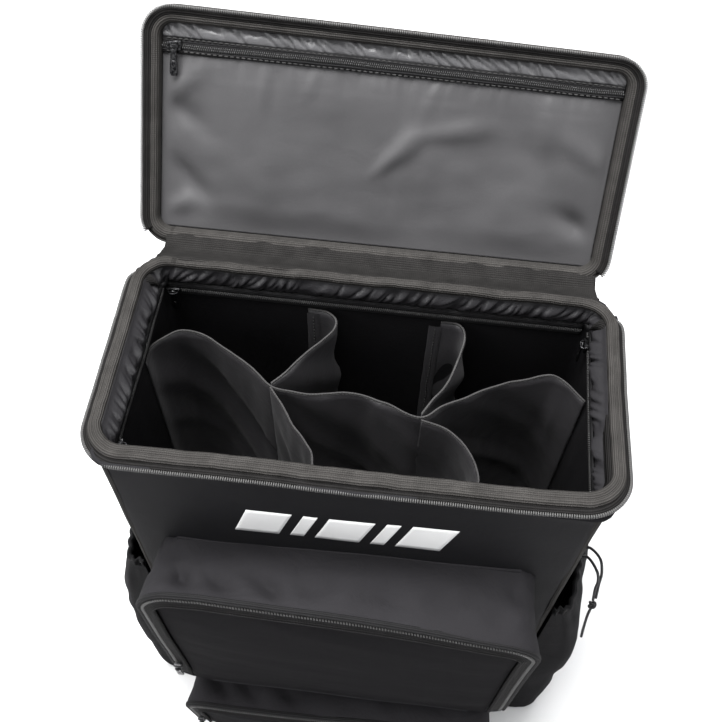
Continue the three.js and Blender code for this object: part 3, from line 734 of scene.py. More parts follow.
for index, (name, plan) in enumerate(divider_plans.items()):
    line = smooth_line([(x, y, 0.0) for x, y in plan], 12)
    gaps = [0.0]
    for a, b in zip(line, line[1:]):
        gaps.append(gaps[-1] + (b - a).length)
    total = gaps[-1]
    points, sideways = [], []
    for i in range(len(line)):
        ahead = (line[min(i + 1, len(line) - 1)] - line[max(i - 1, 0)]).normalized()
        sideways.append(Vector((-ahead.y, ahead.x, 0.0)))
    for row in range(DIVIDER_ROWS):
        share = row / (DIVIDER_ROWS - 1)
        for at, side, length in zip(line, sideways, gaps):
            ends = min(1.0, length / 0.02, (total - length) / 0.02)
            z = DIVIDER_FOOT + share * (divider_top(length, index) - DIVIDER_FOOT)
            slanted = length - 0.95 * (DIVIDER_TOP - z)
            slack = 0.0042 * noise.noise(Vector((length / 0.045, z / 0.16, index * 3.1)))
            slack += 0.0110 * noise.noise(Vector((slanted / 0.028, z / 0.30, index * 1.3)))
            slack += 0.0012 * noise.noise(Vector((length / 0.011, z / 0.035, index * 2.2)))
            slack *= ends * (0.12 + 0.88 * math.sin(math.pi * min(1.0, share * 0.95)))
            points.append((at.x + side.x * slack, at.y + side.y * slack, z))
    edge = points[-len(line):]
    node_name = "long_divider" if name == "long" else f"cross_divider_{name}"
    sheet = mesh_piece(f"divider_{name}_cloth", points, grid_faces(DIVIDER_ROWS, len(line)), divider_black,
                       "bag", "lining_fabric", [node_name])
    thicken(sheet, DIVIDER_THICK, 0.0)
    sides = [tuple(side) for side in sideways]
    upwards = np.tile((0.0, 0.0, 1.0), (len(edge), 1))
    hem = bead(f"divider_{name}_overlock", np.array(edge) - (0, 0, 0.0006), upwards, sides, overlock_grey,
               "bag", "lining_fabric", wide=0.0021, high=0.0013)


# ---------------------------------------------------------------- divider flanges
# Where a short divider meets the front or the back wall, its end is folded into a flat
# flange and stitched down, which shows as an upright ridge with a row of thread.
thread_grey = cloth_material("thread_grey", (0.030, 0.0295, 0.029), 0.6, patch=0.004, unevenness=0.4,
                             threads=4000.0, weave_bump=0.4)


def stitches(name, line, outward, body, slot, long=0.0030, gap=0.0012, thick=0.0005, place=lambda p: p):
    """Row of short thread stitches lying on a line, each a flattened grain with rounded ends."""
    line = np.array(line, float)
    steps = np.concatenate([[0.0], np.cumsum(np.linalg.norm(np.diff(line, axis=0), axis=1))])
    outward = np.array(outward, float)
    if outward.ndim == 1:
        outward = np.tile(outward, (len(line), 1))
    points, faces = [], []
    for begin in np.arange(gap, steps[-1] - long, long + gap):
        at = [np.array([np.interp(begin + long * share, steps, line[:, i]) for i in range(3)])
              for share in (0.0, 0.2, 0.8, 1.0)]
        up = np.array([np.interp(begin, steps, outward[:, i]) for i in range(3)])
        ahead = at[3] - at[0]
        ahead /= np.linalg.norm(ahead)
        side = np.cross(up, ahead)
        base = len(points)
        for p, wide in zip(at, (0.35, 1.0, 1.0, 0.35)):
            for o, u in ((-1, 0.1), (-0.5, 0.9), (0.5, 0.9), (1, 0.1)):
                points.append(place(p + side * o * wide * thick + up * u * wide * thick))
        for i in range(3):
            for k in range(3):
                a = base + i * 4 + k
                faces.append((a, a + 1, a + 5, a + 4))
        faces.append((base + 3, base + 2, base + 1, base))
        faces.append((base + 12, base + 13, base + 14, base + 15))
    return mesh_piece(name, points, faces, thread_grey, body, slot)


FLANGE_Y, FLANGE_LOW, FLANGE_HIGH, FLANGE_THICK = 0.0768, 0.02, 0.486, 0.0009
flange_places = {"back_left": (-0.046, 1), "back_right": (0.048, 1), "front_left": (-0.034, -1),
                 "front_right": (0.076, -1)}
for name, (x, side) in flange_places.items():
    line = [(x + 0.0006 * noise.noise(Vector((z / 0.03, x, 1))), side * FLANGE_Y, z)
            for z in np.linspace(FLANGE_LOW, FLANGE_HIGH, 90)]
    bead(f"divider_{name}_flange", line, (0, -side, 0), (side, 0, 0), divider_black, "bag", "lining_fabric",
         wide=0.010, high=FLANGE_THICK)
    stitches(f"divider_{name}_flange_thread", np.array(line) - (0, side * FLANGE_THICK, 0), (0, -side, 0),
             "bag", "lining_fabric")


# ---------------------------------------------------------------- lid
# A padded board with its own half of the zip, bound with ribbed tape all round, and hinged
# at the back. Every point is worked out with the lid shut, then turned back with it.
hinge = next(joint for joint in frame["joints"] if joint["name"] == "lid_hinge")
HINGE_PLACE = Vector(hinge.get("pos_m", (0, 0.091, 0.519)))
LID_OPEN = math.radians(121.5)
LID_TURN = Matrix.Rotation(-LID_OPEN, 4, "X")
LID_X, LID_Y, LID_LOW = 0.178, 0.086, 0.5326
LID_FACE = 0.5447
LID_CORNER = 0.021
LID_BOARD_Z, LID_PAD = 0.5508, 0.0052
EDGE_X, EDGE_Y = 0.166, 0.074  # half size of the lining inside the lid's binding


def open_lid(point):
    """Turns a point of the shut lid back to where it rests, with the slight sag of its free side."""
    x, y, z = point
    far = min(1.0, max(0.0, (LID_Y - y) / (2 * LID_Y)))
    sag = 0.0030 * far * far * math.cos(1.6 * x / LID_X)
    sag += 0.0012 * noise.noise(Vector((x / 0.09, y / 0.09, 7)))
    pulled_x = x * (0.988 - 0.010 * far) - 0.0060 + 0.0035 * far
    pulled_y = y + far * far * (0.0035 + 0.0045 * x / LID_X)
    return HINGE_PLACE + LID_TURN @ (Vector((pulled_x, pulled_y, z + sag * far)) - HINGE_PLACE)


def lid_strip(name, profile, material, slot, closed, nodes=(), thick=FOLD_THICK):
    """Strip of tape round the shut lid's edge, moved to the open lid; an open one leaves out the hinge."""
    plan, normals, lengths = rounded_path(LID_X, LID_Y, LID_CORNER, 0.003)
    if not closed:
        sewn = normals[:, 1] < ZIP_END
        plan, normals, lengths = plan[sewn], normals[sewn], lengths[sewn]
    line = np.array([(x, y, LID_LOW) for x, y in plan])
    out = np.hstack([normals, np.zeros((len(normals), 1))])
    up = np.tile((0.0, 0.0, 1.0), (len(line), 1))
    points, faces, along, across = strip_along(line, lengths, out, up, profile, closed)
    points[:, 2] += 0.0007 * ripple(points, 0.02, 2.7) + 0.00035 * ripple(points, 0.007, 6.1)
    piece = mesh_piece(name, [open_lid(p) for p in points], faces, material, "lid", slot, nodes)
    store_lengths(piece, along, across)
    thicken(piece, thick, 0.0)
    return line, out, up


half_tape = [(0.0004, 0.0008), (-0.0020, 0.0012), (-0.0050, 0.0026), (-0.0090, 0.0070)]
line, out, up = lid_strip("lid_zip_half_tape", half_tape, tape_grey, "zip_tape", False, ["lid_zip_tape"],
                          TAPE_THICK)
points, faces = teeth_mesh(line + out * 0.0002 + up * 0.0004, out, up, [(0, 0.5)],
                           long=0.0010, wide=0.0024, high=0.0018)
mesh_piece("lid_zip_half_coil", [open_lid(p) for p in points], faces, coil_grey, "lid", "zip_tape")
inner_fold = ([(-0.0014, 0.0076)] + arc_profile((-0.0062, 0.0064), 0.0044, 0.0034, 0, -180, 11)
              + [(-0.0110, 0.0100), (-0.0114, 0.0128)])
lid_strip("lid_binding_inside", inner_fold, binding_grey, "binding_tape", True, ["lid_binding"])
outer_fold = [(-0.0014, 0.0036), (0.0, 0.0052), (0.0004, 0.0090), (0.0, 0.0140), (-0.0016, 0.0178),
              (-0.0045, 0.0198), (-0.0085, 0.0200)]
lid_strip("lid_binding_outside", outer_fold, binding_grey, "binding_tape", True)

plan, faces = rounded_grid(LID_X - 0.0065, LID_Y - 0.0065, LID_CORNER - 0.005, 110, 60)
points = []
for x, y in plan:
    crown = 0.0030 * (1 - (x / LID_X) ** 4) * (1 - (y / LID_Y) ** 4)
    dimple = 0.0008 * noise.noise(Vector((x / 0.05, y / 0.05, 3)))
    dimple += 0.0003 * noise.noise(Vector((x / 0.015, y / 0.015, 5)))
    points.append(open_lid((x, y, LID_BOARD_Z + crown + dimple)))
lid_top = mesh_piece("lid_padded_panel", points, faces, outer_black, "lid", "outer_fabric", ["lid_panel"])
thicken(lid_top, LID_PAD)


# ---------------------------------------------------------------- lining of the lid
# Smooth grey lining: a puckered silver strip at the free edge, a shut zip under it, and a
# large slack sheet that closes a flat pocket, gathered into the zip's lower tape.
strip_silver = cloth_material("strip_silver", (0.075, 0.0740, 0.0765), 0.36, patch=0.02, unevenness=0.3,
                              threads=2600.0, weave_bump=0.12, crease_bump=0.3, crease_size=0.006, gloss=0.4)
lid_silver = cloth_material("lid_silver", (0.038, 0.0372, 0.0385), 0.46, patch=0.06, unevenness=0.25,
                            threads=1900.0, weave_bump=0.16, crease_bump=0.05, crease_size=0.02, sheen=0.02,
                            gloss=0.25)
LID_ZIP_Y, LID_ZIP_WIDE = -0.0597, 0.0104
LID_STRIP_END, LID_POCKET_MOUTH = -0.0645, -0.0545  # sewn edges on either side of the zip


def lid_sheet(name, low_y, high_y, columns, rows, relief, material, nodes):
    """Sheet of lining on the lid's inner face; relief(x, y) lifts it off the face."""
    points = []
    for y in np.linspace(low_y, high_y, rows):
        for x in np.linspace(-EDGE_X, EDGE_X, columns):
            points.append(open_lid((x, y, LID_FACE - relief(x, y))))
    faces = [tuple(reversed(face)) for face in grid_faces(rows, columns)]
    piece = mesh_piece(name, points, faces, material, "lid", "lid_lining", nodes)
    return thicken(piece, 0.0005, -1.0)


def strip_relief(x, y):
    """Slanting gathers of the narrow strip, deepest along its middle."""
    rise = (y + EDGE_Y) / 0.0095
    slant = x / 0.0085 - 0.9 * rise + 0.8 * noise.noise(Vector((x / 0.035, 0, 2)))
    belly = math.sin(math.pi * min(1.0, max(0.0, rise))) ** 0.7
    return 0.0014 + 0.0010 * belly + 0.0011 * furrows(slant, rise * 0.5, 6) * (0.45 + 0.55 * belly)


# each fold: start x and y, end x and y, width at its start, height (a furrow where it is negative)
LID_FOLDS = [
    (-0.194, 0.006, -0.118, -0.066, 0.0066, 0.0066),
    (-0.200, -0.046, -0.116, 0.010, 0.0080, -0.0056),
    (-0.196, -0.012, -0.114, 0.066, 0.0080, -0.0056),
    (-0.190, 0.078, -0.130, 0.046, 0.0070, 0.0044),
    (-0.0895, -0.090, -0.0905, -0.012, 0.0042, 0.0044),
    (-0.012, 0.026, 0.040, -0.030, 0.0066, 0.0058),
    (0.012, -0.010, 0.100, -0.030, 0.0070, 0.0044),
    (0.044, -0.090, 0.024, -0.014, 0.0042, 0.0046),
    (0.110, -0.090, 0.122, 0.004, 0.0056, 0.0050),
    (0.200, 0.020, 0.104, -0.040, 0.0075, 0.0056),
    (0.200, 0.070, 0.112, 0.022, 0.0075, -0.0048),
    (-0.044, -0.090, -0.062, -0.020, 0.0040, 0.0042),
]


def fold_depth(x, y):
    """Single folds of the slack sheet, each a soft ridge or furrow from one point to another."""
    total = 0.0
    for ax, ay, bx, by, wide, deep in LID_FOLDS:
        dx, dy = bx - ax, by - ay
        share = min(1.0, max(0.0, ((x - ax) * dx + (y - ay) * dy) / (dx * dx + dy * dy)))
        apart = math.hypot(x - ax - share * dx, y - ay - share * dy)
        spread = wide * (0.6 + 0.9 * share)
        total += deep * math.exp(-(apart / spread) ** 2) * math.sin(math.pi * share) ** 2
    return total


def sheet_relief(x, y):
    """Close gathers at the zip that run out into long slack waves, flat at the sewn edges."""
    from_zip = y - LID_POCKET_MOUTH
    pinned = 1.0
    for reach in ((EDGE_Y - y) / 0.024, (EDGE_X - abs(x)) / 0.020, 0.02 + from_zip / 0.020):
        reach = min(1.0, max(0.0, reach))
        pinned *= reach * reach * (3 - 2 * reach)
    drift = x + 0.25 * from_zip * noise.noise(Vector((x / 0.08, 1, 4)))
    gather = math.exp(-from_zip / 0.012) * 0.0015
    gather *= noise.noise(Vector((drift / 0.0065, from_zip / 0.05, 1.5)))
    fold = 0.0052 * math.exp(-from_zip / 0.042)
    fold *= noise.noise(Vector((drift / 0.019, from_zip / 0.09, 8.2)))
    wave = 0.0042 * noise.noise(Vector((x / 0.075 + 3, y / 0.055, 2.6)))
    small = 0.0009 * noise.noise(Vector((x / 0.021, y / 0.017, 5.3)))
    raised = 0.0016 + pinned * (0.0018 + fold + wave + small + fold_depth(x, y)) + gather
    cap = 0.0046 + 0.20 * max(0.0, from_zip - 0.014)
    return cap * (1 - math.exp(-raised / cap)) if raised > 0 else raised


lid_strip_cloth = lid_sheet("lid_lining_strip_cloth", -EDGE_Y - 0.0006, LID_STRIP_END, 460, 9, strip_relief,
                            strip_silver, ["lid_lining_strip"])
pocket_sheet = lid_sheet("lid_pocket_cloth", LID_POCKET_MOUTH, EDGE_Y, 330, 110, sheet_relief, lid_silver,
                         ["lid_pocket_sheet"])
zip_z = LID_FACE - 0.0026
closed_zip("lid_inner_zip_tape", (-EDGE_X, LID_ZIP_Y, zip_z), (EDGE_X, LID_ZIP_Y, zip_z), (0, 0, -1),
           LID_ZIP_WIDE, "lid", ["lid_inner_zip"], open_lid)
for row, y in enumerate((-0.0640, -0.0553)):
    run = [(x, y + 0.0002 * noise.noise(Vector((x / 0.02, row, 0))), LID_FACE - 0.0032)
           for x in np.linspace(-EDGE_X + 0.002, EDGE_X - 0.002, 240)]
    stitches(f"lid_zip_thread_{row + 1}", run, (0, 0, -1), "lid", "lid_lining", place=open_lid)


# ---------------------------------------------------------------- hinge tape
# Wide ribbed tape that joins the back of the mouth to the lid. It is sewn to both and bent along its middle;
# it is built once in this shape for the open lid and rides on neither body.
hinge_grey = cloth_material("hinge_grey", (0.0150, 0.0143, 0.0138), 0.85, patch=0.012, unevenness=0.7,
                            weave_bump=0.9, ribbed=True, rib_pitch=0.0014, gloss=0.06)
hinge_section = [(0.0800, 0.5285), (0.0835, 0.5290), (0.0868, 0.5272), (0.0900, 0.5240), (0.0935, 0.5212),
                 (0.0975, 0.5192), (0.1015, 0.5180), (0.1055, 0.5180), (0.1095, 0.5196), (0.1130, 0.5218)]
HINGE_HALF, HINGE_COLUMNS = 0.163, 170
points, along, across = [], [], []
for x in np.linspace(-HINGE_HALF, HINGE_HALF, HINGE_COLUMNS):
    reach = 0.0
    for k, (y, z) in enumerate(hinge_section):
        if k:
            reach += math.hypot(y - hinge_section[k - 1][0], z - hinge_section[k - 1][1])
        lift = 0.0010 * noise.noise(Vector((x / 0.03, y / 0.006, 2))) + 0.0007 * math.sin(k * 1.9)
        points.append((x, y, z + lift))
        along.append(x)
        across.append(reach)
hinge_cloth = mesh_piece("hinge_tape_cloth", points, grid_faces(HINGE_COLUMNS, len(hinge_section)),
                         hinge_grey, None, "binding_tape", ["hinge_tape"])
store_lengths(hinge_cloth, along, across)
thicken(hinge_cloth, 0.0012, 0.0)
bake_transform(hinge_cloth)


# ---------------------------------------------------------------- front pockets
# Two boxed pockets of the outer cloth, one above the other. Each has a soft gusset sewn to the front, a zip
# up its sides and across its top, and a flap that opens downwards.
# The one cloth is given in two copies: a lighter one with painted light on the upward-facing gussets and
# seams, and a darker one with painted shade on the front-facing flaps.
# painted light: a lighter copy of the outer cloth, as the gussets face up towards the top light
pocket_black_painted_light = cloth_material("pocket_black_painted_light", (0.0170, 0.0164, 0.0178), 0.66, patch=0.07, unevenness=0.35,
                             threads=1700.0, weave_bump=0.5, crease_bump=0.22, crease_size=0.035, gloss=0.015)
# painted shade: a darker copy of the outer cloth, as the flaps face the front and get less light
flap_black_painted_shade = cloth_material("flap_black_painted_shade", (0.0075, 0.0071, 0.0079), 0.66, patch=0.07, unevenness=0.25,
                            threads=1700.0, weave_bump=0.4, crease_bump=0.10, crease_size=0.05, gloss=0.008)
pocket_tape = cloth_material("pocket_tape", (0.0135, 0.0131, 0.0133), 0.8, patch=0.012, unevenness=0.5,
                             weave_bump=0.8, ribbed=True, rib_pitch=0.0011, gloss=0.05)
COARSE_PITCH = 0.0021
POCKET_X, POCKET_CORNER = 0.148, 0.028
POCKET_WALL = BODY_Y + 0.0003
GUSSET_THICK, FLAP_THICK, FLAP_INSET = 0.0012, 0.0016, 0.0132
GUSSET_CREASES = ((-0.117, 0.0120), (-0.090, 0.0105), (-0.052, 0.0100))  # place in x, and depth


def build_pocket(name, bottom, top, low_depth, high_depth, edge_lift, seed):
    """Gusset, zip halves, flap panel and the flap's sewn bottom edge of one pocket."""
    half = (top - bottom) / 2
    middle = bottom + half
    flap = f"{name}_flap"

    def depth(z):
        return low_depth + (z - bottom) / (2 * half) * (high_depth - low_depth)

    def shifted(x, z, share=1.0):
        """Height of a point near the pocket's top edge, which lies in a slow uneven line."""
        near = min(1.0, max(0.0, (z - top + 0.11) / 0.11))
        return z + share * near * near * (3 - 2 * near) * edge_lift(x)

    def front(x, z, lift=0.0):
        waver = 0.0022 * noise.noise(Vector((x / 0.10, z / 0.10, seed)))
        return (x, -POCKET_WALL - depth(z) - lift - waver, shifted(x, z))

    # gusset
    plan, normals, lengths = rounded_path(POCKET_X, half, POCKET_CORNER, 0.004)
    shares = np.linspace(0.0, 1.0, 26)
    points = []
    for share in shares:
        for (px, py), (nx, ny), length in zip(plan, normals, lengths):
            z = middle - py
            upright = max(0.0, -ny)
            belly = math.sin(math.pi * share)
            dent = (0.0030 - 0.0055 * upright) * belly * (1 - 0.25 * math.cos(px / 0.07 + seed))
            fold = noise.noise(Vector((length / 0.034, share * 1.5, seed)))
            hollow = max(0.0, noise.noise(Vector((length / 0.022, share * 2.2, seed + 9))))
            hollow *= math.exp(-((share - 0.62) / 0.2) ** 2)
            pucker = noise.noise(Vector((length / 0.010, share * 3.0, seed + 4)))
            corner = math.exp(-((abs(px) - 0.128) / 0.012) ** 2) * math.exp(-((share - 0.3) / 0.22) ** 2)
            corner *= upright
            inwards = 0.009 * (1 - share) ** 1.4 + dent + 0.0042 * belly * fold
            inwards += 0.0010 * belly ** 0.5 * pucker
            inwards += 0.0075 * hollow + 0.0070 * corner
            for at, deep in GUSSET_CREASES:
                away = (px - at - 0.03 * (share - 0.66)) / 0.010
                inwards += deep * math.exp(-away * away - ((share - 0.68) / 0.17) ** 2) * upright
            tuft = math.exp(-((abs(px) - 0.137) / 0.012) ** 2) * math.exp(-(share / 0.22) ** 2)
            inwards -= 0.0045 * tuft * (0.6 + noise.noise(Vector((length / 0.006, share * 9, seed + 2))))
            x, tall = px - nx * inwards, z + ny * inwards
            out = (front(x, tall)[1] + POCKET_WALL) * share
            seam = (1 - share) * max(0.0, (z - middle) / half) * (0.003 + 0.045 * px)
            points.append((x, -POCKET_WALL + out, shifted(x, tall, share ** 1.3) + seam))
    gusset = mesh_piece(f"{name}_gusset_cloth", points, grid_faces(len(shares), len(plan), wrap_columns=True),
                        pocket_black_painted_light, "bag", "outer_fabric", [f"{name}_gusset"])
    thicken(gusset, GUSSET_THICK)

    # zip halves, the outer one on the gusset and the inner one on the flap
    plan, normals, lengths = rounded_path(POCKET_X, half, POCKET_CORNER, 0.003, closed=False)
    out = np.array([(nx, 0.0, -ny) for nx, ny in normals])
    up = np.tile((0.0, -1.0, 0.0), (len(plan), 1))
    edge = np.array([(x, 0.0, middle - y) for x, y in plan])
    sides = (
        ("outer", "bag", tape_black, -0.0036, 0.0,
         [(0.0012, -0.0026), (0.0014, -0.0008), (0.0008, 0.0008), (-0.0004, 0.0012), (-0.0016, 0.0006),
          (-0.0030, 0.0009)]),
        ("inner", flap, pocket_tape, -0.0045, 0.5,
         [(-0.0046, 0.0010), (-0.0060, 0.0018), (-0.0085, 0.0020), (-0.0108, 0.0024), (-0.0122, 0.0040),
          (-0.0134, 0.0040), (-0.0144, 0.0026)]),
    )
    for side, rides, cloth, coil_at, shift, profile in sides:
        points, faces, along, across = strip_along(edge, lengths, out, up, profile, closed=False)
        lifted = [front(p[0], p[2], -p[1]) for p in points]
        tape = mesh_piece(f"{name}_zip_{side}_tape", lifted, faces, cloth, rides, "zip_tape",
                          [f"{name}_zip_{side}"])
        store_lengths(tape, along, across)
        thicken(tape, 0.0008, 0.0)
        points, faces = teeth_mesh(edge + out * coil_at + up * 0.0014, out, up, [(0, shift)],
                                   long=0.0010, wide=0.0021, high=0.0018, pitch=COARSE_PITCH)
        lifted = [front(p[0], p[2], -p[1]) for p in points]
        mesh_piece(f"{name}_zip_{side}_coil", lifted, faces, coil_grey, rides, "zip_tape")

    # flap panel
    panel_low, panel_high = bottom + 0.003, top - FLAP_INSET
    plan, faces = rounded_grid(POCKET_X - FLAP_INSET, (panel_high - panel_low) / 2,
                               POCKET_CORNER - FLAP_INSET + 0.004, 120, 90)
    points = []
    for x, y in plan:
        z = (panel_low + panel_high) / 2 + y
        across, height = x / (POCKET_X - FLAP_INSET), 2 * y / (panel_high - panel_low)
        crown = 0.0052 * max(0.0, 1 - across ** 6) * max(0.0, 1 - height ** 4)
        drift = z + 0.22 * x
        slack = 0.0012 * noise.noise(Vector((x / 0.12, drift / 0.030, seed + 2)))
        slack += 0.0003 * noise.noise(Vector((x / 0.06, drift / 0.012, seed + 6)))
        slack *= min(1.0, 6 * (1 - across ** 2), 6 * (1 - height ** 2))
        points.append(front(x, z, 0.0011 + crown + slack))
    panel = mesh_piece(f"{name}_flap_cloth", points, faces, flap_black_painted_shade, flap, "outer_fabric",
                       [f"{name}_panel"])
    thicken(panel, FLAP_THICK)

    run = [front(x, panel_low + 0.0022, 0.0006) for x in np.linspace(-0.118, 0.118, 160)]
    bead(f"{name}_flap_seam", run, (0, -1, 0), (0, 0, 1), pocket_black_painted_light, "bag", "outer_fabric",
         wide=0.0056, high=0.0015)


def upper_edge(x):
    """Height of the top edge over its sewn size: high on the left, falling to the right."""
    return float(np.interp(x, [-0.148, -0.125, -0.098, -0.06, -0.02, 0.02, 0.06, 0.10, 0.13, 0.148],
                           [0.004, 0.013, 0.018, 0.017, 0.013, 0.009, 0.004, -0.003, -0.009, -0.012]))


def lower_edge(x):
    return 0.004 * math.sin(x / 0.05)


UPPER_LOW, UPPER_HIGH, UPPER_DEPTH = 0.172, 0.418, 0.047
LOWER_LOW, LOWER_HIGH, LOWER_DEPTH, LOWER_TOP_DEPTH = 0.010, 0.146, 0.054, 0.064
build_pocket("upper_pocket", UPPER_LOW, UPPER_HIGH, UPPER_DEPTH, 0.056, upper_edge, seed=2.3)
build_pocket("lower_pocket", LOWER_LOW, LOWER_HIGH, LOWER_DEPTH, LOWER_TOP_DEPTH, lower_edge, seed=8.1)
TOP_SEAM_HALF = 0.128
for name, seam_z in (("upper", UPPER_HIGH - 0.0085), ("lower", LOWER_HIGH - 0.0085)):
    run = [(x, wall_surface(x, -BODY_Y, seam_z, 0, -1)[1] - 0.0004, seam_z + 0.003 + 0.045 * x)
           for x in np.linspace(-TOP_SEAM_HALF, TOP_SEAM_HALF, 170)]
    bead(f"{name}_pocket_seam", run, (0, -1, 0), (0, 0, 1), pocket_black_painted_light, "bag", "outer_fabric",
         wide=0.0050, high=0.0016)


# ---------------------------------------------------------------- mark on the front
# A plain printed mark: a row of slanted bars in white ink, laid on the cloth of the front.
ink_white = cloth_material("ink_white", (0.78, 0.78, 0.77), 0.55, patch=0.02, unevenness=0.06, threads=1700.0,
                           weave_bump=0.25, gloss=0.3)
BAR_LOW, BAR_HIGH, BAR_SLANT = 0.437, 0.474, 0.011
points, faces = [], []
for begin, end in ((-0.076, -0.044), (-0.036, -0.026), (-0.018, 0.014), (0.022, 0.032), (0.040, 0.072)):
    base = len(points)
    for row in np.linspace(0, 1, 9):
        for column in np.linspace(0, 1, 13):
            z = BAR_LOW + row * (BAR_HIGH - BAR_LOW)
            x = begin + column * (end - begin) + row * BAR_SLANT - BAR_SLANT / 2
            points.append((x, wall_surface(x, -BODY_Y, z, 0, -1)[1] - 0.0003, z))
    faces += [tuple(base + k for k in face) for face in grid_faces(9, 13)]
mark = mesh_piece("printed_bars", points, faces, ink_white, "bag", "print_ink")
thicken(mark, 0.0002)


# ---------------------------------------------------------------- side pouches
# A soft bag of outer cloth on each side. It is sewn to the side panel along its edges and
# bottom, and its mouth is gathered by a cord that runs in a ribbed hem.
# height, and distance of the cloth from the middle of the bag
POUCH_LEVELS = [(0.0076, 0.1690), (0.0064, 0.1860), (0.0070, 0.1990), (0.0102, 0.2055), (0.0200, 0.2085),
                (0.0600, 0.2104), (0.1500, 0.2110), (0.2500, 0.2098), (0.2950, 0.2062), (0.3200, 0.2000),
                (0.3340, 0.1958)]
POUCH_POINTS, POUCH_THICK = 150, 0.0011
HEM_OUT, HEM_Z = 0.1962, 0.3388
pouch_black = cloth_material("pouch_black", (0.0086, 0.0083, 0.0090), 0.62, patch=0.07, unevenness=0.3,
                             threads=1700.0, weave_bump=0.4, crease_bump=0.15, crease_size=0.03, gloss=0.012)
POUCH_Y, POUCH_CORNER, POUCH_SEAM = 0.0832, 0.013, BODY_X + 0.0006


def mouth_dip(around):
    """The mouth hangs a little lower at the front seam than at the back."""
    return 0.006 * max(0.0, 1 - around / 0.42) ** 1.5


def drawn_in(x, around, high, side):
    """Moves a point of the pouch towards the side panel, where the cord draws its mouth shut."""
    closing = max(0.0, (high - 0.58) / 0.42) ** 1.3
    share = 0.52 * (1 - 0.6 * around) if side < 0 else 0.60 * max(0.0, 1 - around / 0.42) ** 0.7
    return math.copysign(POUCH_SEAM + (abs(x) - POUCH_SEAM) * (1 - share * closing), x)


def pouch_ring(side, out, half_y, count):
    """Line in plan from the front seam round the outer side to the back seam, with outward normals."""
    corner = min(POUCH_CORNER, max(0.002, (out - POUCH_SEAM) * 0.8))
    plan, normals = [], []
    straight = out - corner - POUCH_SEAM
    lengths = [straight, corner * math.pi / 2, 2 * (half_y - corner), corner * math.pi / 2, straight]
    for s in np.linspace(0, sum(lengths), count):
        left, part = s, 0
        while part < 4 and left > lengths[part]:
            left -= lengths[part]
            part += 1
        if part == 0:
            spot, normal = (POUCH_SEAM + left, -half_y), (0, -1)
        elif part == 1:
            turn = left / corner
            spot = (out - corner + corner * math.sin(turn), -half_y + corner - corner * math.cos(turn))
            normal = (math.sin(turn), -math.cos(turn))
        elif part == 2:
            spot, normal = (out, -half_y + corner + left), (1, 0)
        elif part == 3:
            turn = left / corner
            spot = (out - corner + corner * math.cos(turn), half_y - corner + corner * math.sin(turn))
            normal = (math.cos(turn), math.sin(turn))
        else:
            spot, normal = (out - corner - left, half_y), (0, 1)
        plan.append((side * spot[0], spot[1]))
        normals.append((side * normal[0], normal[1]))
    return plan, normals


for side, name in ((-1, "left"), (1, "right")):
    tall = [z for z, _ in POUCH_LEVELS[:4]] + list(np.linspace(0.013, POUCH_LEVELS[-1][0], 72))
    wide = [out for _, out in POUCH_LEVELS[:4]] + list(np.interp(tall[4:], *zip(*POUCH_LEVELS[3:])))
    points = []
    for z, out in zip(tall, wide):
        plan, normals = pouch_ring(side, out, POUCH_Y, POUCH_POINTS)
        high = z / POUCH_LEVELS[-1][0]
        for i, ((x, y), (nx, ny)) in enumerate(zip(plan, normals)):
            around = i / (len(plan) - 1)
            free = min(1.0, around * 9, (1 - around) * 9)
            gather = max(0.0, (high - 0.62) / 0.38) ** 1.6
            lean = around + 0.02 * math.sin(6 * z / 0.33 + side)
            pleat = 0.0026 * gather * noise.noise(Vector((lean * 22, high * 1.2, side * 2)))
            pleat -= 0.0022 * gather * abs(noise.noise(Vector((lean * 13, high * 0.8, side * 5))))
            slack = 0.0042 * noise.noise(Vector((lean * 5.5, z / 0.085, side * 3)))
            slack += 0.0022 * noise.noise(Vector((lean * 12 + z / 0.05, z / 0.05, side * 7)))
            slack *= math.sin(math.pi * min(1.0, max(0.0, z / 0.34))) ** 0.6
            push = free * (min(0.0012, pleat + slack) - 0.0010)
            points.append((drawn_in(x + nx * push, around, high, side), y + ny * push,
                           z - mouth_dip(around) * high ** 4))
    pouch = mesh_piece(f"{name}_pouch_cloth", points, grid_faces(len(tall), POUCH_POINTS), pouch_black, "bag",
                       "outer_fabric", [f"{name}_pouch"])
    if side < 0:
        pouch.data.flip_normals()
    thicken(pouch, POUCH_THICK)

    plan, normals = pouch_ring(side, HEM_OUT, POUCH_Y + 0.0006, 420)
    steps = np.concatenate([[0.0], np.cumsum(np.linalg.norm(np.diff(np.array(plan), axis=0), axis=1))])
    crimp = [0.0013 * math.sin(s / 0.0019 + 2.2 * noise.noise(Vector((s / 0.02, side, 1)))) +
             0.0016 * noise.noise(Vector((s / 0.010, side, 4))) for s in steps]
    out = np.array([(nx, ny, 0.0) for nx, ny in normals])
    line = np.array([(x, y, HEM_Z) for x, y in plan]) + out * (np.array(crimp) - 0.0016)[:, None]
    line[:, 0] = [drawn_in(x, s / steps[-1], 1.0, side) for x, s in zip(line[:, 0], steps)]
    line[:, 2] += [0.0022 * noise.noise(Vector((s / 0.03, side, 9))) - mouth_dip(s / steps[-1])
                   for s in steps]
    up = np.tile((0.0, 0.0, 1.0), (len(line), 1))
    ring = arc_profile((-0.0006, 0.0), 0.0023, 0.0052, -90, 270, 15)
    points, faces, along, across = strip_along(line, steps, out, up, ring, closed=False)
    hem = mesh_piece(f"{name}_pouch_hem_tape", points, faces, tape_black, "bag", "binding_tape",
                     [f"{name}_pouch_hem"])
    store_lengths(hem, along, across)


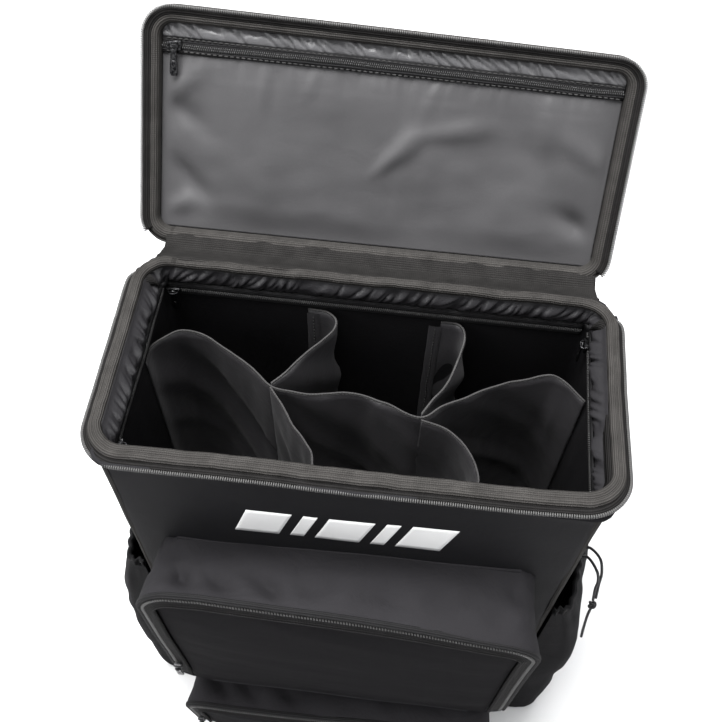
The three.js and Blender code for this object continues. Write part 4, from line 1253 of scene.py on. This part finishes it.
# ---------------------------------------------------------------- drawcord of the right pouch
# A soft braided cord 2.4 mm thick. Both ends come out of the top of the pouch's hem, curl
# over it, and are knotted together about 50 mm down. One loose end hangs below the knot.
CORD_THICK = 0.0024
cord_black = cloth_material("cord_black", (0.012, 0.012, 0.013), 0.75, patch=0.004, unevenness=0.5,
                            threads=2600.0, weave_bump=0.8, sheen=0.2)


def cord_piece(name, route, nodes):
    """Cord along a route: a poly curve with round section."""
    line = smooth_line(route, 8)
    curve = bpy.data.curves.new(name, "CURVE")
    curve.dimensions = "3D"
    curve.bevel_depth = CORD_THICK / 2
    curve.bevel_resolution = 3
    curve.use_fill_caps = True
    spline = curve.splines.new("POLY")
    spline.points.add(len(line) - 1)
    for target, point in zip(spline.points, line):
        target.co = (*point, 1)
    curve.materials.append(cord_black)
    piece = add_object(name, curve)
    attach(piece, "bag")
    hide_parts(*nodes)


def overhand_knot(name, middle, radius):
    """Small tight knot: a closed cord that winds three times round a short ring, as one mesh."""
    turns, steps, sides = 3, 72, 8
    centre, points, faces = [], [], []
    for i in range(steps):
        angle = 2 * math.pi * i / steps
        swell = radius * (0.62 + 0.38 * math.cos(turns * angle))
        centre.append(Vector(middle) + Vector((swell * math.cos(2 * angle) * 0.75,
                                               swell * math.sin(2 * angle) * 0.75,
                                               radius * 0.8 * math.sin(turns * angle))))
    for i, place in enumerate(centre):
        ahead = (centre[(i + 1) % steps] - centre[i - 1]).normalized()
        side = ahead.cross(Vector((0.2, 0.1, 1))).normalized()
        lift = side.cross(ahead)
        for k in range(sides):
            turn = 2 * math.pi * k / sides
            points.append(place + (side * math.cos(turn) + lift * math.sin(turn)) * CORD_THICK / 2)
    for i in range(steps):
        for k in range(sides):
            a, b = i * sides + k, i * sides + (k + 1) % sides
            c, d = (i + 1) % steps * sides + (k + 1) % sides, (i + 1) % steps * sides + k
            faces.append((a, b, c, d))
    mesh = bpy.data.meshes.new(name)
    mesh.from_pydata(points, [], faces)
    mesh.polygons.foreach_set("use_smooth", [True] * len(mesh.polygons))
    mesh.materials.append(cord_black)
    return add_object(name, mesh)


knot_middle = sum(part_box("drawcord_knot"), Vector()) / 2
knot = overhand_knot("drawcord_knot_tied", knot_middle, radius=0.0036)
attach(knot, "bag")
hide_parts("drawcord_knot", "drawcord_tail_short")
front_route = [(0.1886, -0.036, 0.339), (0.193, -0.041, 0.349), (0.200, -0.050, 0.346),
               (0.2045, -0.052, 0.330), (0.206, -0.053, 0.312), (0.2076, -0.057, 0.297)]
back_route = [(0.1892, -0.029, 0.339), (0.194, -0.033, 0.351), (0.202, -0.041, 0.350),
              (0.207, -0.046, 0.333), (0.209, -0.049, 0.313), (0.2098, -0.055, 0.298)]
tail_route = [(0.208, -0.0604, 0.2854), (0.2084, -0.062, 0.270), (0.2086, -0.067, 0.255),
              (0.2088, -0.072, 0.243)]
cord_piece("drawcord_front", front_route, ["drawcord_strand_front"])
cord_piece("drawcord_back", back_route, ["drawcord_strand_back"])
cord_piece("drawcord_tail", tail_route, ["drawcord_tail_long"])


# ---------------------------------------------------------------- handle on the back
# A loop of 25 mm webbing for lifting the bag, its ends held under two stitched patches.
low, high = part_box("back_handle_strap")
grip = [(-0.091, 0.0856), (-0.078, 0.0862), (-0.066, 0.0885), (-0.050, 0.0990), (-0.028, 0.1120),
        (0.0, 0.1168)]
grip = grip + [(-x, y) for x, y in reversed(grip[:-1])]
line = smooth_line([(x, y, (low.z + high.z) / 2) for x, y in grip], 10)
steps = np.concatenate([[0.0], np.cumsum([(b - a).length for a, b in zip(line, line[1:])])])
ahead = [(line[min(i + 1, len(line) - 1)] - line[max(i - 1, 0)]).normalized() for i in range(len(line))]
out = np.array([(-a.y, a.x, 0.0) for a in ahead])
up = np.tile((0.0, 0.0, 1.0), (len(line), 1))
line = np.array([tuple(p) for p in line])
section = [(-0.0010, -0.0125), (0.0008, -0.0125), (0.0011, -0.0118), (0.0012, 0.0), (0.0011, 0.0118),
           (0.0008, 0.0125), (-0.0008, 0.0125), (-0.0011, 0.0118), (-0.0012, 0.0), (-0.0011, -0.0118),
           (-0.0010, -0.0125)]
points, faces, along, across = strip_along(line, steps, out, up, section, closed=False)
strap = mesh_piece("handle_webbing", points, faces, binding_grey, "bag", "binding_tape",
                   ["back_handle_strap"])
store_lengths(strap, along, across)
PATCH_X, PATCH_HALF_WIDE, PATCH_HALF_TALL = 0.083, 0.017, 0.021
for side, name in ((-1, "left"), (1, "right")):
    centre_x, centre_z = side * PATCH_X, (low.z + high.z) / 2
    plan, faces = rounded_grid(PATCH_HALF_WIDE, PATCH_HALF_TALL, 0.003, 20, 24)
    wall_y = wall_surface(centre_x, BODY_Y, centre_z, 0, 1)[1]
    points = []
    for u, v in plan:
        ridge = 0.0022 * (1 - min(1.0, abs(v) / 0.0175) ** 6)
        points.append((centre_x + u, wall_y + 0.0006 + ridge, centre_z + v))
    faces = [tuple(reversed(face)) for face in faces]
    patch = mesh_piece(f"handle_patch_{name}", points, faces, outer_black, "bag", "outer_fabric")
    thicken(patch, 0.0008)
    out_y = points[len(points) // 2][1] + 0.0002
    box_run = [(-0.014, -0.0165), (0.014, -0.0165), (0.014, 0.0165), (-0.014, 0.0165), (-0.014, -0.0165),
               (0.014, 0.0165)]
    run = []
    for (a, b), (c, d) in zip(box_run, box_run[1:]):
        run += [(centre_x + a + (c - a) * t, out_y, centre_z + b + (d - b) * t)
                for t in np.linspace(0, 0.98, 16)]
    stitches(f"handle_patch_{name}_thread", run, (0, 1, 0), "bag", "outer_fabric")


# ---------------------------------------------------------------- sliders and pulls
# Die-cast metal with a dark plated finish, rubbed brighter in patches. Each slider sits
# on its chain, and its pull hangs from a small bridge and turns round it.
zip_metal = bpy.data.materials.new("dark_plated_metal")
zip_metal.use_nodes = True
tree = zip_metal.node_tree
shader = tree.nodes["Principled BSDF"]
shader.inputs["Metallic"].default_value = 1.0
place = node(tree, "ShaderNodeTexCoord").outputs["Object"]
rub = node(tree, "ShaderNodeTexNoise", {"Vector": place, "Scale": 700.0, "Detail": 4.0}).outputs["Fac"]
tone = node(tree, "ShaderNodeValToRGB", {"Fac": rub})
tone.color_ramp.elements[0].position, tone.color_ramp.elements[1].position = 0.38, 0.66
tone.color_ramp.elements[0].color = (0.010, 0.010, 0.011, 1)
tone.color_ramp.elements[1].color = (0.055, 0.055, 0.056, 1)
tree.links.new(tone.outputs["Color"], shader.inputs["Base Color"])
rough = node(tree, "ShaderNodeMapRange", {"Value": rub, "To Min": 0.22, "To Max": 0.5})
tree.links.new(rough.outputs[0], shader.inputs["Roughness"])
scratch = node(tree, "ShaderNodeTexNoise", {"Vector": place, "Scale": 2600.0})
dent = node(tree, "ShaderNodeBump", {"Height": scratch.outputs["Fac"], "Strength": 0.15, "Distance": 0.0002})
tree.links.new(dent.outputs[0], shader.inputs["Normal"])


def layered(outline, layers):
    """Solid made of copies of an outline, each at (height, shrink), closed at both ends."""
    middle = np.mean(np.array(outline), axis=0)
    points, faces, count = [], [], len(outline)
    for height, shrink in layers:
        for x, y in outline:
            to = np.array((x, y)) - middle
            reach = max(1e-6, np.linalg.norm(to))
            spot = middle + to * (1 - shrink / reach)
            points.append((spot[0], spot[1], height))
    for i in range(len(layers) - 1):
        for j in range(count):
            k = (j + 1) % count
            faces.append((i * count + j, i * count + k, (i + 1) * count + k, (i + 1) * count + j))
    faces.append(tuple(reversed(range(count))))
    faces.append(tuple(range((len(layers) - 1) * count, len(layers) * count)))
    return points, faces


def joined(*solids):
    """Points and faces of several solids as one mesh."""
    points, faces = [], []
    for some, those in solids:
        faces += [tuple(len(points) + k for k in face) for face in those]
        points += list(some)
    return points, faces


def slider_and_pull(name, frame_matrix, turn=0.0):
    """Slider with its bridge, and the pull turned by the given angle about the bridge."""
    shield = [(-0.0055, -0.0020), (-0.0040, -0.0026), (0.0006, -0.0036), (0.0048, -0.0038), (0.0055, -0.0031),
              (0.0055, 0.0031), (0.0048, 0.0038), (0.0006, 0.0036), (-0.0040, 0.0026), (-0.0055, 0.0020)]
    plate = layered(shield, [(0.0004, 0.0006), (0.0008, 0.0), (0.0026, 0.0), (0.0033, 0.0005),
                             (0.0036, 0.0013)])
    bridge_points, bridge_faces = [], []
    arch = [(0.0040 * math.cos(a), 0.0034 + 0.0030 * math.sin(a)) for a in np.linspace(0, math.pi, 13)]
    for k, (x, z) in enumerate(arch):
        angle = math.pi * k / 12
        for y in (-0.0011, 0.0011):
            for inner in (0.0, 0.0009):
                bridge_points.append((x - inner * math.cos(angle), y, z - inner * math.sin(angle)))
    for k in range(12):
        a = 4 * k
        for p, q in ((0, 1), (1, 3), (3, 2), (2, 0)):
            bridge_faces.append((a + p, a + q, a + 4 + q, a + 4 + p))
    slider = joined(plate, (bridge_points, bridge_faces))
    ring, tab_faces = [], []
    outer = [(0.0028 * math.cos(a), 0.0028 * math.sin(a)) for a in np.linspace(0, math.pi, 9)]
    half_outer = [(-0.0021, -0.0050), (-0.0024, -0.0085), (-0.0030, -0.0180), (-0.0022, -0.0206)]
    outer += half_outer + [(-x, y) for x, y in reversed(half_outer)]
    eye = [(0.0016 * math.cos(a), 0.0016 * math.sin(a)) for a in np.linspace(0, math.pi, 9)]
    half_eye = [(-0.0012, -0.0012), (-0.0010, -0.0018), (-0.0008, -0.0020), (-0.0004, -0.0021)]
    eye += half_eye + [(-x, y) for x, y in reversed(half_eye)]
    count = len(outer)
    for height, inner, grow in ((0.0040, outer, 0.94), (0.0044, outer, 1.0), (0.0049, outer, 1.0),
                                (0.0053, outer, 0.94), (0.0053, eye, 1.0), (0.0040, eye, 1.0)):
        ring.append([(x * grow, y * grow if y > -0.015 else y, height) for x, y in inner])
    points = [p for layer in ring for p in layer]
    for i in range(6):
        for j in range(count):
            k = (j + 1) % count
            n = (i + 1) % 6
            tab_faces.append((i * count + j, i * count + k, n * count + k, n * count + j))
    groove = layered([(-0.0014, -0.0170), (0.0014, -0.0170), (0.0012, -0.0100), (-0.0012, -0.0100)],
                     [(0.0050, 0.0), (0.0056, 0.0004)])
    pull = joined((points, tab_faces), groove)
    spin = Matrix.Rotation(turn, 4, "Z")
    for kind, (some, those), extra in (("slider", slider, Matrix()), ("pull", pull, spin)):
        full = f"{name}_{kind}"
        placed = [frame_matrix @ extra @ Vector(p) for p in some]
        made = mesh_piece(f"{full}_metal", placed, those, zip_metal, full, "zip_metal", [full], smooth=False)
        edge = made.modifiers.new("soft_edges", "BEVEL")
        edge.width = 0.0002
        edge.segments = 2
        edge.angle_limit = math.radians(35)


def local_frame(at, along, normal, parent=Matrix()):
    """Frame of a slider: x along its zip, z out of the cloth."""
    along, normal = Vector(along).normalized(), Vector(normal).normalized()
    across = normal.cross(along)
    turn = Matrix((along, across, normal)).transposed().to_4x4()
    return parent @ Matrix.Translation(at) @ turn


def flap_frame(bottom, top, low_depth, high_depth):
    """Frame of a leaning pocket front: y up along it, z out of it."""
    lean = math.atan2(high_depth - low_depth, top - bottom)
    foot = Matrix.Translation((0, -POCKET_WALL - low_depth, bottom))
    return foot @ Matrix.Rotation(math.pi / 2 + lean, 4, "X")


lid_frame = Matrix.Translation(HINGE_PLACE) @ LID_TURN @ Matrix.Translation(-HINGE_PLACE)
upper_frame = flap_frame(UPPER_LOW, UPPER_HIGH, UPPER_DEPTH, 0.060)
lower_frame = flap_frame(LOWER_LOW, LOWER_HIGH, LOWER_DEPTH, LOWER_TOP_DEPTH)
POCKET_RUN_X, POCKET_RUN_OUT = -0.1416, 0.0017  # middle of the pocket zips' left runs
slider_and_pull("inner_zip_back", local_frame((-0.1527, 0.0768, 0.500), (1, 0, 0), (0, -1, 0)))
for side, name in ((-1, "left"), (1, "right")):
    inner_frame = local_frame((side * 0.1608, side * 0.062, 0.502), (0, -side, 0), (-side, 0, 0))
    slider_and_pull(f"inner_zip_{name}", inner_frame)
    main_frame = local_frame((side * 0.176, 0.058, 0.5234), (0, 1, 0), (0, 0, -1))
    slider_and_pull(f"main_zip_{name}", main_frame, math.pi / 2)
slider_and_pull("lid_inner_zip",
                local_frame((-0.157, LID_ZIP_Y, LID_FACE - 0.0012), (1, 0, 0), (0, 0, -1), lid_frame))
for name, height, pocket_frame in (("upper", 0.062, upper_frame), ("lower", 0.045, lower_frame)):
    zip_frame = local_frame((POCKET_RUN_X, height, POCKET_RUN_OUT), (0, 1, 0), (0, 0, 1), pocket_frame)
    slider_and_pull(f"{name}_pocket_zip", zip_frame, -math.pi / 2)
